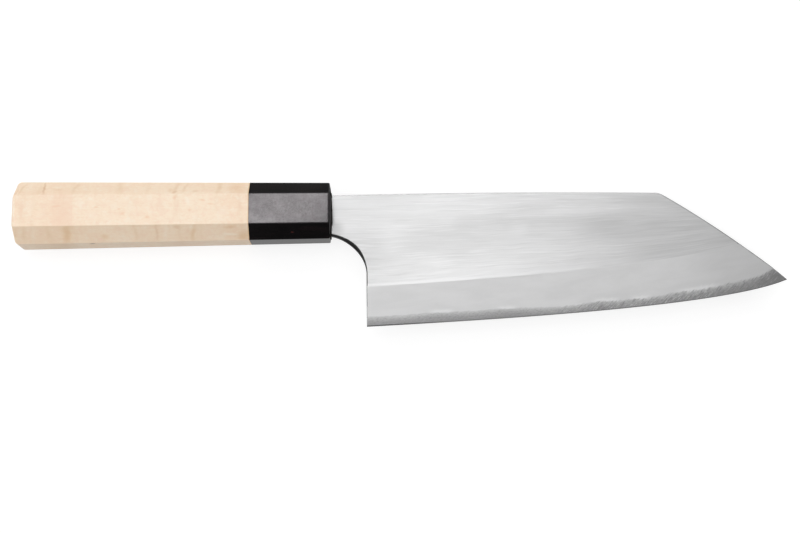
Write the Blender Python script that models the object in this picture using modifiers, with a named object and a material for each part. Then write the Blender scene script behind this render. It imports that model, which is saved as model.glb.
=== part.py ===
"""Bunka knife with a three-layer blade, a hidden tang and an octagonal handle.

The knife lies on its side: +X runs from the butt to the tip, +Y points to the
spine, so the cutting edge faces -Y, and +Z is the thickness. Every piece hangs
from one empty on the handle's axis, at the butt, level with the middle of the
blade. Below, x runs along that axis, y is the height above it and z is the
distance from the blade's middle plane. All lengths are in metres.
"""

import math

import bmesh
import bpy
from mathutils import Vector
from mathutils.geometry import interpolate_bezier

# Handle
WOOD_LENGTH = 0.0961
FERRULE_LENGTH = 0.0329
BUTT_HEIGHT = 0.0258
BUTT_THICKNESS = 0.0196
BUTT_SLANT_RISE = 0.0064  # how much of the height a slanted facet takes
BUTT_SLANT_DEPTH = 0.0045  # how much of the thickness it takes
FRONT_HEIGHT = 0.0231
FRONT_THICKNESS = 0.0190
FRONT_SLANT_RISE = 0.00545
FRONT_SLANT_DEPTH = 0.0051
ARRIS = 0.00035  # flat that breaks each long edge between two facets
BUTT_DOME = 0.0022  # how far the butt bulges past its top and bottom facets
FERRULE_ROUNDING = 0.0009

# Hidden joint inside the handle
FERRULE_WALL = 0.0026  # horn left beside the dowel
DOWEL_WALL = 0.0016  # dowel left above and below the tang's slot
DOWEL_IN_WOOD = 0.035
DOWEL_CHAMFER = 0.0006
SEAT_WALL = 0.0023  # horn between the dowel's end and the neck's pocket
BUTT_SOLID = 0.034  # wood left behind the tang
TANG_ROOM = 0.0007  # glue space round the tang and the neck
GLUE_LINE = 0.0001  # gap between pieces that are glued
SEAL_DEPTH = 0.0020
SEAL_PROUD = 0.00025

# Blade in side view
NECK_SEAT = 0.0060  # neck inside the ferrule
MOUTH_WALL_ABOVE = 0.00395  # horn above the neck's slot
MOUTH_WALL_BELOW = 0.0010
HEEL_SETBACK = 0.0140  # ferrule's mouth to the heel
CHOIL_DEPTH = 0.01575
HEEL_DROP = 0.0469  # heel below the handle's axis
EDGE_REACH = 0.1691  # heel to tip, along the axis
TIP_DROP = 0.0294
SPINE_REACH = 0.1191  # heel to the corner where the angled tip starts
SPINE_CROWN = 0.0006
CORNER_RADIUS = 0.0060
TIP_CONVEXITY = 0.0013  # bulge of the angled tip
TANG_END_HEIGHT = 0.0050

# Lines along the blade. Flat is the nearly straight start at the heel, sweep
# the stretch that turns up to the tip, and slope is rise over run at the end.
EDGE_FLAT = 0.0800
EDGE_FLAT_SLOPE = 0.0437
EDGE_SWEEP = 0.0215
EDGE_SWEEP_SLOPE = 0.416
BEVEL_HEEL_WIDTH = 0.0160
BEVEL_TIP_WIDTH = 0.0232  # measured along the angled tip
BEVEL_FLAT = 0.0600
BEVEL_FLAT_SLOPE = 0.055
BEVEL_SWEEP = 0.0350
BEVEL_SWEEP_SLOPE = 0.24
CORE_HEEL_WIDTH = 0.0035  # hard steel bared above the edge
CORE_TIP_WIDTH = 0.0076
CORE_FLAT = 0.0800
CORE_FLAT_SLOPE = 0.028
CORE_SWEEP = 0.0205
CORE_SWEEP_SLOPE = 0.56

# Blade thicknesses
CORE_NECK_THICKNESS = 0.00100
CORE_HEEL_THICKNESS = 0.00044
CORE_TIP_THICKNESS = 0.00034
CLAD_NECK_THICKNESS = 0.00143  # each side
CLAD_HEEL_THICKNESS = 0.00103
CLAD_TIP_THICKNESS = 0.00018
TANG_END_THICKNESS = 0.0024
BOND_LINE = 0.00002  # gap that stands for each forge weld

# Fineness of the faceted solids
LINE_STEPS = 26
ARC_STEPS = 7
ROUNDING_STEPS = 3
ROUND_SEGMENTS = 40
OVERRUN = 0.004  # how far a cutter or a loft runs past what it trims
WELD = 0.00001

# Places that follow from the sizes above
JOINT_X = WOOD_LENGTH
MOUTH_X = WOOD_LENGTH + FERRULE_LENGTH
HEEL_X = MOUTH_X + HEEL_SETBACK
TIP_X = HEEL_X + EDGE_REACH
MACHI_X = MOUTH_X - NECK_SEAT
TANG_END_X = BUTT_SOLID + TANG_ROOM
DOWEL_START_X = JOINT_X - DOWEL_IN_WOOD
DOWEL_END_X = MACHI_X - TANG_ROOM - SEAT_WALL
DOWEL_RADIUS = FRONT_THICKNESS / 2 - FERRULE_WALL - GLUE_LINE
NECK_TOP = FRONT_HEIGHT / 2 - MOUTH_WALL_ABOVE - TANG_ROOM
NECK_BOTTOM = -(FRONT_HEIGHT / 2 - MOUTH_WALL_BELOW - TANG_ROOM)
TANG_HALF_HEIGHT = DOWEL_RADIUS - DOWEL_WALL - TANG_ROOM
TANG_END_HALF_HEIGHT = TANG_END_HEIGHT / 2


def clear_scene():
    for old in list(bpy.data.objects):
        bpy.data.objects.remove(old, do_unlink=True)


def make_collection(name):
    collection = bpy.data.collections.new(name)
    bpy.context.scene.collection.children.link(collection)
    return collection


def make_material(name, colour, roughness, metallic=0.0):
    material = bpy.data.materials.new(name)
    material.use_nodes = True
    shader = material.node_tree.nodes["Principled BSDF"]
    shader.inputs["Base Color"].default_value = (*colour, 1.0)
    shader.inputs["Roughness"].default_value = roughness
    shader.inputs["Metallic"].default_value = metallic
    material.diffuse_color = (*colour, 1.0)
    return material


def add_object(name, mesh, collection, parent, material=None):
    made = bpy.data.objects.new(name, mesh)
    collection.objects.link(made)
    made.parent = parent
    if material:
        made.data.materials.append(material)
    return made


def add_cutter(name, mesh, collection, parent):
    cutter = add_object(name, mesh, collection, parent)
    cutter.hide_render = True
    cutter.display_type = "WIRE"
    return cutter


def trim(piece, operation, other):
    modifier = piece.modifiers.new(operation.lower() + "_" + other.name, "BOOLEAN")
    modifier.operation = operation
    modifier.object = other
    modifier.solver = "EXACT"


def finished_mesh(name, bm):
    bmesh.ops.recalc_face_normals(bm, faces=bm.faces)
    mesh = bpy.data.meshes.new(name)
    bm.to_mesh(mesh)
    bm.free()
    return mesh


def loft(name, sections):
    """A closed body through sections that hold the same number of points."""
    bm = bmesh.new()
    rings = [[bm.verts.new(point) for point in section] for section in sections]
    for before, after in zip(rings, rings[1:]):
        for index in range(len(before)):
            following = (index + 1) % len(before)
            bm.faces.new((before[index], before[following], after[following], after[index]))
    bm.faces.new(rings[0])
    bm.faces.new(rings[-1])
    bmesh.ops.triangulate(bm, faces=bm.faces)
    return finished_mesh(name, bm)


def round_bar(name, length, radius, chamfer=0.0):
    """A cylinder along Z, with its two rims chamfered if asked."""
    bm = bmesh.new()
    bmesh.ops.create_cone(bm, cap_ends=True, segments=ROUND_SEGMENTS, radius1=radius,
                          radius2=radius, depth=length)
    if chamfer:
        caps = [face for face in bm.faces if len(face.verts) == ROUND_SEGMENTS]
        rims = [edge for cap in caps for edge in cap.edges]
        bmesh.ops.bevel(bm, geom=rims, offset=chamfer, segments=1, affect="EDGES")
    mesh = finished_mesh(name, bm)
    mesh.shade_smooth()
    mesh.set_sharp_from_angle(angle=math.radians(30))
    return mesh


def lay_along_axis(bar, start_x, end_x):
    bar.rotation_euler = (0.0, math.radians(90), 0.0)
    bar.location = ((start_x + end_x) / 2, 0.0, 0.0)


def share(start, end, amount):
    return start + (end - start) * amount


def handle_size(x, at_butt, at_front):
    """A handle size at x, on its straight taper from the butt to the mouth."""
    return share(at_butt, at_front, x / MOUTH_X)


def octagon(x, inset=0.0):
    """The handle's section at x with broken edges, moved inwards by inset."""
    half_y = handle_size(x, BUTT_HEIGHT, FRONT_HEIGHT) / 2 - inset
    half_z = handle_size(x, BUTT_THICKNESS, FRONT_THICKNESS) / 2 - inset
    rise = handle_size(x, BUTT_SLANT_RISE, FRONT_SLANT_RISE)
    depth = handle_size(x, BUTT_SLANT_DEPTH, FRONT_SLANT_DEPTH)
    slant = math.hypot(rise, depth)
    flat_y = half_y - rise + inset * (1 - (slant - rise) / depth)
    flat_z = half_z - depth + inset * (1 - (slant - depth) / rise)
    corners = [
        Vector((x, half_y, flat_z)),
        Vector((x, flat_y, half_z)),
        Vector((x, -flat_y, half_z)),
        Vector((x, -half_y, flat_z)),
        Vector((x, -half_y, -flat_z)),
        Vector((x, -flat_y, -half_z)),
        Vector((x, flat_y, -half_z)),
        Vector((x, half_y, -flat_z)),
    ]
    points = []
    for index, corner in enumerate(corners):
        for neighbour in (corners[index - 1], corners[(index + 1) % len(corners)]):
            points.append(corner + (neighbour - corner).normalized() * ARRIS / 2)
    return points


def rectangle(x, low_y, high_y, half_z):
    corners = ((low_y, -half_z), (high_y, -half_z), (high_y, half_z), (low_y, half_z))
    return [(x, y, z) for y, z in corners]


def bowed(start, end, rise, steps):
    """Points on the shallow arc from start to end that bulges to its left by rise."""
    chord = end - start
    left = Vector((-chord.y, chord.x, 0.0)).normalized()
    points = []
    for step in range(steps + 1):
        along = step / steps
        points.append(start + chord * along + left * rise * 4 * along * (1 - along))
    return points


def rounded_corner(before, corner, after, radius):
    """Points on the arc that rounds a corner between two straight runs."""
    back = (before - corner).normalized()
    ahead = (after - corner).normalized()
    half_angle = back.angle(ahead) / 2
    reach = radius / math.tan(half_angle)
    centre = corner + (back + ahead).normalized() * radius / math.sin(half_angle)
    start = (corner + back * reach - centre).normalized()
    end = (corner + ahead * reach - centre).normalized()
    steps = [step / ARC_STEPS for step in range(ARC_STEPS + 1)]
    return [centre + start.slerp(end, along) * radius for along in steps]


def heel_point(above_edge):
    return Vector((HEEL_X, above_edge - HEEL_DROP, 0.0))


def spine_corner():
    return Vector((HEEL_X + SPINE_REACH, NECK_TOP, 0.0))


def tip_point():
    return Vector((TIP_X, -TIP_DROP, 0.0))


def on_angled_tip(from_tip):
    """The place on the angled tip at a distance from the very tip."""
    chord = spine_corner() - tip_point()
    along = from_tip / chord.length
    right = Vector((chord.y, -chord.x, 0.0)).normalized()
    return tip_point() + chord * along + right * TIP_CONVEXITY * 4 * along * (1 - along)


def long_line(start, end, flat, flat_slope, sweep, sweep_slope):
    """Points on the smooth line that leaves start and reaches end at the given slopes."""
    first = start + Vector((flat, flat * flat_slope, 0.0))
    last = end - Vector((sweep, sweep * sweep_slope, 0.0))
    return interpolate_bezier(start, first, last, end, LINE_STEPS + 1)


def blade_lines():
    """The cutting edge, the line where the core shows, and the bevel's upper line."""
    edge = long_line(heel_point(0.0), tip_point(), EDGE_FLAT, EDGE_FLAT_SLOPE,
                     EDGE_SWEEP, EDGE_SWEEP_SLOPE)
    core = long_line(heel_point(CORE_HEEL_WIDTH), on_angled_tip(CORE_TIP_WIDTH), CORE_FLAT,
                     CORE_FLAT_SLOPE, CORE_SWEEP, CORE_SWEEP_SLOPE)
    bevel = long_line(heel_point(BEVEL_HEEL_WIDTH), on_angled_tip(BEVEL_TIP_WIDTH), BEVEL_FLAT,
                      BEVEL_FLAT_SLOPE, BEVEL_SWEEP, BEVEL_SWEEP_SLOPE)
    return edge, core, bevel


def blade_stations():
    """Rows of places on the three lines, from before the tang's end to past the tip."""
    lines = blade_lines()
    rows = []
    for x in (TANG_END_X - OVERRUN, TANG_END_X, MOUTH_X):
        rows.append([Vector((x, line[0].y, 0.0)) for line in lines])
    rows.extend(list(row) for row in zip(*lines))
    rows.append([line[-1] + (line[-1] - line[-2]).normalized() * OVERRUN for line in lines])
    return rows


def plane_through(places):
    """A function that gives the height of the plane through three places."""
    origin, first, second = (Vector(place) for place in places)
    normal = (first - origin).cross(second - origin)

    def height(x, y):
        return origin.z - (normal.x * (x - origin.x) + normal.y * (y - origin.y)) / normal.z

    return height


def layer_planes():
    """How thick half the core and one cladding are over the blade's flat sides."""
    heel_core = heel_point(CORE_HEEL_WIDTH)
    heel_bevel = heel_point(BEVEL_HEEL_WIDTH)
    tip_core = on_angled_tip(CORE_TIP_WIDTH)
    tip_bevel = on_angled_tip(BEVEL_TIP_WIDTH)
    core = plane_through((
        (MOUTH_X, NECK_TOP, CORE_NECK_THICKNESS / 2),
        (heel_core.x, heel_core.y, CORE_HEEL_THICKNESS / 2),
        (tip_core.x, tip_core.y, CORE_TIP_THICKNESS / 2),
    ))
    clad = plane_through((
        (MOUTH_X, NECK_TOP, CLAD_NECK_THICKNESS),
        (heel_bevel.x, heel_bevel.y, CLAD_HEEL_THICKNESS),
        (tip_bevel.x, tip_bevel.y, CLAD_TIP_THICKNESS),
    ))
    return core, clad


def neck_half_thickness():
    return CORE_NECK_THICKNESS / 2 + BOND_LINE + CLAD_NECK_THICKNESS


def layer_heights(x, y):
    """Half the core's thickness and half the blade's, at a place on the flat sides."""
    if x < MACHI_X:
        outer = TANG_END_THICKNESS / 2
        return outer * CORE_NECK_THICKNESS / 2 / neck_half_thickness(), outer
    core, clad = layer_planes()
    inner = core(x, y)
    return inner, inner + BOND_LINE + clad(x, y)


def core_sections():
    top_y = NECK_TOP + SPINE_CROWN + OVERRUN
    sections = []
    for edge, core, bevel in blade_stations():
        at_line = layer_heights(core.x, core.y)[0]
        at_top = layer_heights(bevel.x, top_y)[0]
        sections.append([
            (edge.x, edge.y, 0.0),
            (core.x, core.y, at_line),
            (bevel.x, top_y, at_top),
            (bevel.x, top_y, -at_top),
            (core.x, core.y, -at_line),
        ])
    return sections


def cladding_sections(side):
    """Sections of one cladding, which thins to nothing where the core shows."""
    top_y = NECK_TOP + SPINE_CROWN + OVERRUN
    sections = []
    for _, core, bevel in blade_stations():
        feather = layer_heights(core.x, core.y)[0] + BOND_LINE
        at_bevel = layer_heights(bevel.x, bevel.y)[1]
        inner_top, outer_top = layer_heights(bevel.x, top_y)
        sections.append([
            (core.x, core.y, side * feather),
            (bevel.x, bevel.y, side * at_bevel),
            (bevel.x, top_y, side * outer_top),
            (bevel.x, top_y, side * (inner_top + BOND_LINE)),
        ])
    return sections


def choil_points():
    """The hollow behind the heel, from the heel's back up to the neck."""
    low = Vector((HEEL_X, NECK_BOTTOM - CHOIL_DEPTH, 0.0))
    high = Vector((MOUTH_X, NECK_BOTTOM, 0.0))
    upwards = low + Vector((0.0, CHOIL_DEPTH / 2, 0.0))
    forwards = high + Vector((HEEL_SETBACK * 0.45, -CHOIL_DEPTH * 0.08, 0.0))
    return interpolate_bezier(low, upwards, forwards, high, ARC_STEPS * 2)


def blade_outline():
    """The blade's side view, clockwise from the tang's end; it runs past the edge."""
    neck = Vector((MOUTH_X, NECK_TOP, 0.0))
    corner = spine_corner()
    tip = tip_point()
    tang_top = Vector((TANG_END_X, TANG_END_HALF_HEIGHT, 0.0))
    tang_low = Vector((TANG_END_X, -TANG_END_HALF_HEIGHT, 0.0))
    machi_top = Vector((MACHI_X, TANG_HALF_HEIGHT, 0.0))
    machi_low = Vector((MACHI_X, -TANG_HALF_HEIGHT, 0.0))
    end_radius = TANG_END_HALF_HEIGHT / 2
    spine = bowed(neck, corner, SPINE_CROWN, ARC_STEPS * 2)
    angled = bowed(corner, tip, TIP_CONVEXITY, ARC_STEPS * 2)
    past_tip = tip + (tip - angled[-2]).normalized() * OVERRUN
    low_y = -HEEL_DROP - OVERRUN
    points = rounded_corner(tang_low, tang_top, machi_top, end_radius)
    points += [machi_top, Vector((MACHI_X, NECK_TOP, 0.0))]
    points += spine[:-1]
    points += rounded_corner(spine[-2], corner, angled[1], CORNER_RADIUS)
    points += angled[1:]
    points += [past_tip, Vector((past_tip.x, low_y, 0.0)), Vector((HEEL_X, low_y, 0.0))]
    points += choil_points()
    points += [Vector((MACHI_X, NECK_BOTTOM, 0.0)), machi_low]
    points += rounded_corner(machi_low, tang_low, tang_top, end_radius)
    return points


def add_outline_cutter(cutters, parent):
    """A plate of the blade's side view, thicker than the blade."""
    outline = blade_outline()
    curve = bpy.data.curves.new("blade_outline", "CURVE")
    curve.dimensions = "2D"
    curve.fill_mode = "BOTH"
    curve.extrude = BUTT_THICKNESS / 2
    spline = curve.splines.new("POLY")
    spline.points.add(len(outline) - 1)
    for point, place in zip(spline.points, outline):
        point.co = (*place, 1.0)
    spline.use_cyclic_u = True
    guide = add_object("blade_outline_guide", curve, cutters, parent)
    bpy.context.view_layer.update()
    graph = bpy.context.evaluated_depsgraph_get()
    plate = bpy.data.meshes.new_from_object(guide.evaluated_get(graph))
    bpy.data.objects.remove(guide, do_unlink=True)
    bm = bmesh.new()
    bm.from_mesh(plate)
    bpy.data.meshes.remove(plate)
    bmesh.ops.remove_doubles(bm, verts=bm.verts, dist=WELD)
    return add_cutter("blade_outline", finished_mesh("blade_outline", bm), cutters, parent)


def add_blade(parts, cutters, parent):
    """The hard core and the two softer claddings, tang included."""
    hard = make_material("core_steel", (0.40, 0.40, 0.41), 0.30, 1.0)
    soft = make_material("cladding_steel", (0.72, 0.72, 0.73), 0.38, 1.0)
    outline = add_outline_cutter(cutters, parent)
    core = add_object("core_steel", loft("core_steel", core_sections()), parts, parent, hard)
    trim(core, "INTERSECT", outline)
    for name, side in (("cladding_right", 1.0), ("cladding_left", -1.0)):
        mesh = loft(name, cladding_sections(side))
        trim(add_object(name, mesh, parts, parent, soft), "INTERSECT", outline)


def tang_channel(name, margin, front_x):
    """The space of the tang and the neck, wider all round by margin."""
    along_tang = (MACHI_X - TANG_END_X) / (MOUTH_X - TANG_END_X)
    end_y = TANG_END_HALF_HEIGHT + margin
    end_z = TANG_END_THICKNESS / 2 + margin
    step_x = MACHI_X - margin
    step_y = TANG_HALF_HEIGHT + margin
    step_z = share(TANG_END_THICKNESS / 2, neck_half_thickness(), along_tang) + margin
    low_y = NECK_BOTTOM - margin
    high_y = NECK_TOP + margin
    neck_z = neck_half_thickness() + margin
    return loft(name, [
        rectangle(TANG_END_X - margin, -end_y, end_y, end_z),
        rectangle(step_x, -step_y, step_y, step_z),
        rectangle(step_x, low_y, high_y, neck_z),
        rectangle(front_x, low_y, high_y, neck_z),
    ])


def add_dome_cutter(cutters, parent):
    """A turned bar whose domed end shapes the butt."""
    half = BUTT_HEIGHT / 2
    radius = (half * half + BUTT_DOME * BUTT_DOME) / (2 * BUTT_DOME)
    rim = math.hypot(half, BUTT_THICKNESS / 2)
    widest = math.asin(min(1.0, rim / radius))
    outer = radius * math.sin(widest)
    profile = [(0.0, JOINT_X + OVERRUN), (outer, JOINT_X + OVERRUN)]
    for step in range(ARC_STEPS, -1, -1):
        angle = widest * step / ARC_STEPS
        profile.append((radius * math.sin(angle), radius * (1 - math.cos(angle))))
    bm = bmesh.new()
    points = [bm.verts.new((across, 0.0, along)) for across, along in profile]
    for before, after in zip(points, points[1:]):
        bm.edges.new((before, after))
    dome = add_cutter("butt_dome", finished_mesh("butt_dome", bm), cutters, parent)
    dome.rotation_euler = (0.0, math.radians(90), 0.0)
    turned = dome.modifiers.new("turned", "SCREW")
    turned.axis = "Z"
    turned.angle = math.radians(360)
    turned.steps = ROUND_SEGMENTS
    turned.render_steps = ROUND_SEGMENTS
    turned.use_merge_vertices = True
    turned.merge_threshold = WELD
    return dome


def add_dowel_bore(cutters, parent):
    start_x = DOWEL_START_X - GLUE_LINE
    end_x = DOWEL_END_X + GLUE_LINE
    mesh = round_bar("dowel_bore", end_x - start_x, DOWEL_RADIUS + GLUE_LINE)
    bore = add_cutter("dowel_bore", mesh, cutters, parent)
    lay_along_axis(bore, start_x, end_x)
    return bore


def add_handle_body(parts, parent, dome, bore, slot):
    maple = make_material("maple", (0.86, 0.70, 0.53), 0.42)
    mesh = loft("handle_body", [octagon(-OVERRUN), octagon(JOINT_X)])
    body = add_object("handle_body", mesh, parts, parent, maple)
    trim(body, "INTERSECT", dome)
    trim(body, "DIFFERENCE", bore)
    trim(body, "DIFFERENCE", slot)


def add_ferrule(parts, parent, bore, slot):
    horn = make_material("black_horn", (0.012, 0.010, 0.010), 0.22)
    sections = [octagon(JOINT_X + GLUE_LINE)]
    for step in range(ROUNDING_STEPS + 1):
        angle = math.radians(90) * step / ROUNDING_STEPS
        x = MOUTH_X - FERRULE_ROUNDING * (1 - math.sin(angle))
        sections.append(octagon(x, FERRULE_ROUNDING * (1 - math.cos(angle))))
    ferrule = add_object("ferrule", loft("ferrule", sections), parts, parent, horn)
    trim(ferrule, "DIFFERENCE", bore)
    trim(ferrule, "DIFFERENCE", slot)


def add_dowel(parts, parent, slot):
    hardwood = make_material("dowel_wood", (0.55, 0.36, 0.20), 0.60)
    length = DOWEL_END_X - DOWEL_START_X
    mesh = round_bar("handle_dowel", length, DOWEL_RADIUS, DOWEL_CHAMFER)
    dowel = add_object("handle_dowel", mesh, parts, parent, hardwood)
    lay_along_axis(dowel, DOWEL_START_X, DOWEL_END_X)
    trim(dowel, "DIFFERENCE", slot)


def add_adhesive(parts, parent, space):
    """The resin that fills the slot round the tang."""
    resin = make_material("tang_resin", (0.62, 0.50, 0.28), 0.35)
    front_x = MOUTH_X - SEAL_DEPTH - GLUE_LINE
    mesh = tang_channel("tang_adhesive", TANG_ROOM - GLUE_LINE, front_x)
    trim(add_object("tang_adhesive", mesh, parts, parent, resin), "DIFFERENCE", space)


def add_seal(parts, parent, space):
    """The dark bead that closes the ferrule's mouth round the neck."""
    dark = make_material("mouth_seal", (0.03, 0.025, 0.022), 0.45)
    margin = TANG_ROOM - GLUE_LINE
    half_z = neck_half_thickness() + margin
    mesh = loft("mouth_seal", [
        rectangle(x, NECK_BOTTOM - margin, NECK_TOP + margin, half_z)
        for x in (MOUTH_X - SEAL_DEPTH, MOUTH_X + SEAL_PROUD)
    ])
    trim(add_object("mouth_seal", mesh, parts, parent, dark), "DIFFERENCE", space)


def add_handle(parts, cutters, parent):
    """Everything round the tang, from the butt to the ferrule's mouth."""
    past_mouth = MOUTH_X + OVERRUN
    slot_mesh = tang_channel("tang_slot", TANG_ROOM, past_mouth)
    space_mesh = tang_channel("tang_space", GLUE_LINE, past_mouth)
    slot = add_cutter("tang_slot", slot_mesh, cutters, parent)
    space = add_cutter("tang_space", space_mesh, cutters, parent)
    dome = add_dome_cutter(cutters, parent)
    bore = add_dowel_bore(cutters, parent)
    add_handle_body(parts, parent, dome, bore, slot)
    add_ferrule(parts, parent, bore, slot)
    add_dowel(parts, parent, slot)
    add_adhesive(parts, parent, space)
    add_seal(parts, parent, space)


def add_axis_empty(parts):
    """The handle's axis at the butt, placed so that the knife's box stands on the origin."""
    widest_x = BUTT_DOME * (BUTT_THICKNESS / BUTT_HEIGHT) ** 2
    top_y = handle_size(BUTT_DOME, BUTT_HEIGHT, FRONT_HEIGHT) / 2
    low_z = handle_size(widest_x, BUTT_THICKNESS, FRONT_THICKNESS) / 2
    axis = bpy.data.objects.new("handle_axis", None)
    parts.objects.link(axis)
    axis.location = (-TIP_X / 2, (HEEL_DROP - top_y) / 2, low_z)
    axis.empty_display_size = BUTT_HEIGHT
    return axis


def main():
    clear_scene()
    parts = make_collection("bunka_knife")
    cutters = make_collection("cutters")
    axis = add_axis_empty(parts)
    add_blade(parts, cutters, axis)
    add_handle(parts, cutters, axis)


main()
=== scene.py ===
# Bunka knife: its looks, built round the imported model.
import math

import bmesh
import bpy
import numpy as np
from mathutils import Matrix, Vector
from mathutils import noise as unevenness
from mathutils.geometry import delaunay_2d_cdt


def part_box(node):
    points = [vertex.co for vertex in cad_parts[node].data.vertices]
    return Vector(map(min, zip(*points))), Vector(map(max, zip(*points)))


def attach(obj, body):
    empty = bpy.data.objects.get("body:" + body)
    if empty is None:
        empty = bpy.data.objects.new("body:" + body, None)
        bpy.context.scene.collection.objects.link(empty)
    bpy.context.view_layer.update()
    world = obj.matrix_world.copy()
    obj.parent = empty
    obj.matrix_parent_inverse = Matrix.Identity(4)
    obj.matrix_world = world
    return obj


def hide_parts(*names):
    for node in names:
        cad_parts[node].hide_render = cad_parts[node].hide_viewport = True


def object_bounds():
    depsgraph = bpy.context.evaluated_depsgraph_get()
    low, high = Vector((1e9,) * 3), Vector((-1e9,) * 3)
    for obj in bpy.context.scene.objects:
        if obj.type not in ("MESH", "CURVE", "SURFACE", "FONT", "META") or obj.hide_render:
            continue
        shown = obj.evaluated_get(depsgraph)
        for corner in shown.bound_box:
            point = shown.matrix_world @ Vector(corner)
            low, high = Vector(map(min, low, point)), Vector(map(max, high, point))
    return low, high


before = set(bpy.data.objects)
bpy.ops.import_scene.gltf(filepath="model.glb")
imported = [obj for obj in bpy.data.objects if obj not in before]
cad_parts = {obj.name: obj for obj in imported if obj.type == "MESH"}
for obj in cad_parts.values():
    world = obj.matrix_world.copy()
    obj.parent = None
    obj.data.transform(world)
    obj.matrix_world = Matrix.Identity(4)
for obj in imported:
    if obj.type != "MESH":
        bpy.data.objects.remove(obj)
cadBounds = [list(corner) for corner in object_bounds()]

# Places along the knife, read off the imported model. Below, x runs along the handle's
# axis from the butt, y is the height above that axis, z starts at the blade's middle.
handleLow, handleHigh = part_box("handle_body")
coreLow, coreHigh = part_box("core_steel")
dowelLow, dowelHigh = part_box("handle_dowel")
sealLow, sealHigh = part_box("mouth_seal")
axisStart = Vector((handleLow.x, (handleLow.y + handleHigh.y) / 2, (coreLow.z + coreHigh.z) / 2))
jointX = handleHigh.x - axisStart.x
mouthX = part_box("ferrule")[1].x - axisStart.x
tipX = coreHigh.x - axisStart.x
heelY = coreLow.y - axisStart.y
dowelRadius = (dowelHigh.y - dowelLow.y) / 2
print("frame: handle, ferrule and blade found")


# Small helpers for shader and geometry trees

def addNode(tree, kind, inputs=None, **settings):
    made = tree.nodes.new(kind)
    for setting, value in settings.items():
        setattr(made, setting, value)
    for key, value in (inputs or {}).items():
        if isinstance(value, bpy.types.NodeSocket):
            tree.links.new(value, made.inputs[key])
        else:
            made.inputs[key].default_value = value
    return made


def calc(tree, operation, *values, clamp=False):
    made = addNode(tree, "ShaderNodeMath", dict(enumerate(values)), operation=operation, use_clamp=clamp)
    return made.outputs[0]


def product(tree, first, *others):
    for other in others:
        first = calc(tree, "MULTIPLY", first, other)
    return first


def fade(tree, value, low, high, start=0.0, end=1.0):  # eases from start to end between low and high
    made = addNode(tree, "ShaderNodeMapRange", {"Value": value, "From Min": low, "From Max": high,
                                                "To Min": start, "To Max": end},
                   interpolation_type="SMOOTHSTEP")
    return made.outputs["Result"]


def fadeBy(tree, patterns, name, *limits):  # the same along one of some named patterns
    return fade(tree, patterns[name], *limits)


def sway(tree, value, pattern, reach):  # moves a value up and down with a pattern of 0 to 1
    return calc(tree, "MULTIPLY_ADD", calc(tree, "SUBTRACT", pattern, 0.5), reach, value)


def stretch(tree, vector, scale, turn=0.0, shift=(0.0, 0.0, 0.0)):  # turn is round z
    made = addNode(tree, "ShaderNodeMapping", {"Vector": vector, "Scale": scale, "Location": shift,
                                               "Rotation": (0.0, 0.0, turn)})
    return made.outputs["Vector"]


def noise(tree, vector, scale, detail=2.0, roughness=0.5, distortion=0.0, **place):
    if isinstance(scale, tuple):  # a scale for each axis
        vector = stretch(tree, vector, scale, **place)
        scale = 1.0
    made = addNode(tree, "ShaderNodeTexNoise", {"Vector": vector, "Scale": scale, "Detail": detail,
                                                "Roughness": roughness, "Distortion": distortion})
    return made.outputs["Fac"]


def noises(tree, vector, looks):
    return {name: noise(tree, vector, **look) for name, look in looks.items()}


def mixColour(tree, amount, first, second):
    made = addNode(tree, "ShaderNodeMix", {0: amount, 6: first, 7: second}, data_type="RGBA")
    return made.outputs[2]


def tint(tree, colour, target, strength, *masks):  # lays a colour over where every mask is 1
    return mixColour(tree, product(tree, *masks, strength), colour, target)


def layerBy(tree, colour, patterns, layers, toneOf):  # layers: pattern, from, to, strength, tone
    for pattern, low, high, strength, tone in layers:
        amount = fadeBy(tree, patterns, pattern, low, high, 0.0, strength)
        colour = mixColour(tree, amount, colour, toneOf(tone))
    return colour


def markBy(tree, colour, patterns, look, toneOf, **masks):  # marks: tone, strength, masks that meet there
    for name, limits in look["masks"].items():
        masks[name] = fadeBy(tree, patterns, *limits)
    for tone, strength, *names in look["marks"]:
        colour = tint(tree, colour, toneOf(tone), strength, *[masks[name] for name in names])
    return colour


def splitPoint(tree, vector):
    return addNode(tree, "ShaderNodeSeparateXYZ", {"Vector": vector}).outputs


def joinPoint(tree, x, y, z=0.0):
    return addNode(tree, "ShaderNodeCombineXYZ", {"X": x, "Y": y, "Z": z}).outputs["Vector"]


def knifePoint(tree):  # the point in x, y and z from the handle's axis at the butt
    place = addNode(tree, "ShaderNodeTexCoord").outputs["Object"]
    return stretch(tree, place, (1.0, 1.0, 1.0), shift=tuple(-axisStart))


def spot(tree, point, centre, size, turn=0.0, core=0.0):  # 1 in a soft oval spot's middle, 0 outside it
    local = addNode(tree, "ShaderNodeMapping", {
        "Vector": point, "Location": centre, "Rotation": (0.0, 0.0, math.radians(turn)), "Scale": size},
        vector_type="TEXTURE").outputs["Vector"]
    distance = addNode(tree, "ShaderNodeVectorMath", {0: local}, operation="LENGTH").outputs["Value"]
    return fade(tree, distance, 1.0, core)


def rgb(red, green, blue):  # screen colour, 0 to 255, to a linear one
    def linear(value):
        value /= 255
        return value / 12.92 if value <= 0.04045 else ((value + 0.055) / 1.055) ** 2.4
    return (linear(red), linear(green), linear(blue), 1.0)


def shade(tone):  # a plain steel tone, a touch cool
    return (tone, tone, tone * 1.004, 1.0)


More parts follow.
